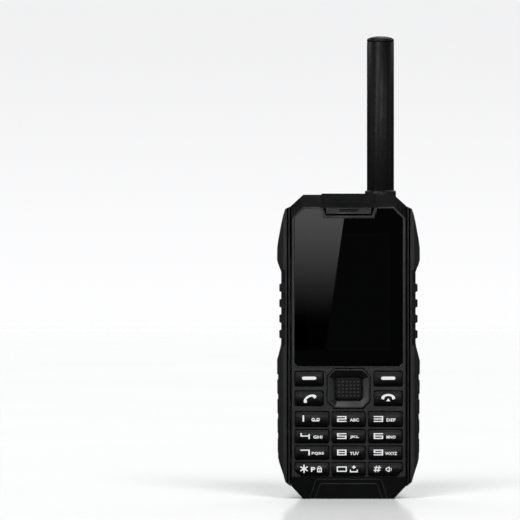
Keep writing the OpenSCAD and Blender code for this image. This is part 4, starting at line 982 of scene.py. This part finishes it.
def area_light(name, azimuth, elevation, distance, size, radiance):
    """A soft box aimed at the phone. Azimuth 0 is in front, 90 to the right; no camera sees it."""
    aim = Vector((0, 0, 0.1))
    a, e = math.radians(azimuth), math.radians(elevation)
    toward = Vector((math.sin(a) * math.cos(e), -math.cos(a) * math.cos(e), math.sin(e)))
    data = bpy.data.lights.new(name, "AREA")
    data.shape = "RECTANGLE"
    data.size, data.size_y = size
    data.energy = radiance * math.pi * size[0] * size[1]
    light = bpy.data.objects.new(name, data)
    bpy.context.scene.collection.objects.link(light)
    light.location = aim + toward * distance
    light.rotation_mode = "QUATERNION"
    light.rotation_quaternion = (-toward).to_track_quat("-Z", "Y")
    light.visible_camera = False
    return light


REFLECTED_WORLD = 0.04


def make_world():
    """Pale behind the object and a little paler at the horizon, dim for everything that it reflects."""
    world = bpy.data.worlds.new("studio")
    bpy.context.scene.world = world
    world.use_nodes = True
    tree = world.node_tree
    tree.nodes.clear()
    backgrounds = []
    for color in ((0.9, 0.95, 1.0, 1), (0.9, 0.9, 0.91, 1)):
        background = tree.nodes.new("ShaderNodeBackground")
        background.inputs["Color"].default_value = color
        backgrounds.append(background)
    reflected, seen = backgrounds
    reflected.inputs["Strength"].default_value = REFLECTED_WORLD
    place = tree.nodes.new("ShaderNodeTexCoord")
    parts = tree.nodes.new("ShaderNodeSeparateXYZ")
    fade = tree.nodes.new("ShaderNodeMapRange")
    fade.interpolation_type = "SMOOTHSTEP"
    limits = {"From Min": -0.013, "From Max": 0.05, "To Min": 1.1, "To Max": 0.98}
    for socket, value in limits.items():
        fade.inputs[socket].default_value = value
    tree.links.new(place.outputs["Generated"], parts.inputs[0])
    tree.links.new(parts.outputs["Z"], fade.inputs["Value"])
    tree.links.new(fade.outputs["Result"], seen.inputs["Strength"])
    path = tree.nodes.new("ShaderNodeLightPath")
    mix = tree.nodes.new("ShaderNodeMixShader")
    out = tree.nodes.new("ShaderNodeOutputWorld")
    tree.links.new(path.outputs["Is Camera Ray"], mix.inputs[0])
    tree.links.new(reflected.outputs[0], mix.inputs[1])
    tree.links.new(seen.outputs[0], mix.inputs[2])
    tree.links.new(mix.outputs[0], out.inputs["Surface"])


def linked(name, objects, state):
    """A collection for light linking whose objects are all included or all excluded."""
    group = bpy.data.collections.new(name)
    for item in objects:
        group.objects.link(item)
    for entry in group.collection_objects:
        entry.light_linking.link_state = state
    return group


def make_lights(floor):
    """Soft boxes round the phone, one lamp for its keys, and wide lamps for the floor only."""
    boxes = (
        ("key_light", -30, 31, 1.4, (0.45, 0.4), 4.8), ("front_light", 2, 8, 1.5, (0.5, 0.24), 6.6),
        ("ring_left", -38, 6, 1.3, (0.28, 0.4), 4.9), ("ring_right", 38, 6, 1.3, (0.28, 0.4), 2.8),
        ("side_left", -84, 7, 1.2, (0.4, 0.8), 0.5), ("side_right", 84, 7, 1.2, (0.4, 0.8), 0.5),
        ("back_left", -122, 30, 1.3, (0.5, 0.5), 2.4), ("back_right", 122, 30, 1.3, (0.5, 0.5), 2.4),
        ("back_light", 180, 14, 1.5, (0.5, 0.5), 3.0), ("overhead", 160, 68, 1.3, (0.9, 0.9), 3.0),
    )
    all_but_floor = linked("all_but_floor", [floor], "EXCLUDE")
    for box in boxes:
        area_light(*box).light_linking.receiver_collection = all_but_floor
    keys = [o for o in bpy.context.scene.objects if o.name.endswith("_cap") or o.name == "nav_rocker"]
    upper = area_light("keys_light", 6, 36, 1.4, (0.5, 0.3), 5.0)
    upper.light_linking.receiver_collection = linked("keys_only", keys, "INCLUDE")
    suns = (("floor_left", -15, 34, 22, 2.6), ("floor_right", 15, 34, 22, 2.6),
            ("floor_back", 180, 50, 50, 1.1))
    lamps = [floor_sun(*sun) for sun in suns]
    lamps.append(area_light("horizon_light", 180, 5, 1.5 * FLOOR_RADIUS, (4 * FLOOR_RADIUS, 1.8), 0.95))
    floor_only = linked("floor_only", [floor], "INCLUDE")
    for lamp in lamps:
        lamp.light_linking.receiver_collection = floor_only


def floor_sun(name, azimuth, elevation, spread, energy):
    """Wide sunlight, with its azimuth, elevation and spread in degrees; azimuth 0 is in front."""
    data = bpy.data.lights.new(name, "SUN")
    data.energy = energy
    data.angle = math.radians(spread)
    lamp = bpy.data.objects.new(name, data)
    bpy.context.scene.collection.objects.link(lamp)
    lamp.rotation_euler = (math.radians(90 - elevation), 0, math.radians(azimuth))
    return lamp


def make_glare():
    """A card in front of the phone, seen only as the slanting reflection on its lens."""
    low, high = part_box("display_lens")
    width, height = high.x - low.x, high.z - low.z
    distance = 1.2
    scale = 1 + distance / CAMERA_DISTANCE
    eye = Vector((CAMERA_X, CAMERA_Z))

    def on_card(u, v):
        """Where a point of the lens, as shares of its width and height, looks at the card."""
        point = Vector((low.x + u * width, low.z + v * height))
        seen = eye + (point - eye) * scale
        return Vector((seen.x, low.y - distance, seen.y))

    bm = bmesh.new()
    corners = [on_card(-0.1, 0.1), on_card(0.285, 0.1), on_card(0.475, 1.02), on_card(-0.1, 1.02)]
    bm.faces.new([bm.verts.new(p) for p in corners])
    mesh = bpy.data.meshes.new("glare_card")
    bm.to_mesh(mesh)
    bm.free()
    card = bpy.data.objects.new("glare_card", mesh)
    bpy.context.scene.collection.objects.link(card)
    material = bpy.data.materials.new("glare_card")
    material.use_nodes = True
    tree = material.node_tree
    tree.nodes.clear()
    out = tree.nodes.new("ShaderNodeOutputMaterial")
    glow = tree.nodes.new("ShaderNodeEmission")
    place = tree.nodes.new("ShaderNodeTexCoord")
    parts = tree.nodes.new("ShaderNodeSeparateXYZ")
    fade = tree.nodes.new("ShaderNodeMapRange")
    fade.interpolation_type = "SMOOTHSTEP"
    fade.inputs["From Min"].default_value = on_card(0, 0.25).z
    fade.inputs["From Max"].default_value = on_card(0, 1.15).z
    fade.inputs["To Max"].default_value = 1.9
    tree.links.new(place.outputs["Object"], parts.inputs[0])
    tree.links.new(parts.outputs["Z"], fade.inputs["Value"])
    tree.links.new(fade.outputs["Result"], glow.inputs["Strength"])
    tree.links.new(glow.outputs[0], out.inputs["Surface"])
    mesh.materials.append(material)
    card.visible_camera = False
    card.visible_diffuse = False
    card.visible_shadow = False
    card.visible_transmission = False


def make_camera():
    """Straight on to the front, from far away, as wide as the picture."""
    data = bpy.data.cameras.new("camera")
    data.sensor_width = 36
    data.lens = data.sensor_width * CAMERA_DISTANCE / VIEW_WIDTH
    data.clip_end = 50
    camera = bpy.data.objects.new("camera", data)
    bpy.context.scene.collection.objects.link(camera)
    camera.location = (CAMERA_X, -CAMERA_DISTANCE, CAMERA_Z)
    camera.rotation_euler = (math.radians(90), 0, 0)
    bpy.context.scene.camera = camera


bpy.context.scene.view_settings.view_transform = "Standard"
make_world()
make_lights(make_stage())
make_glare()
make_camera()
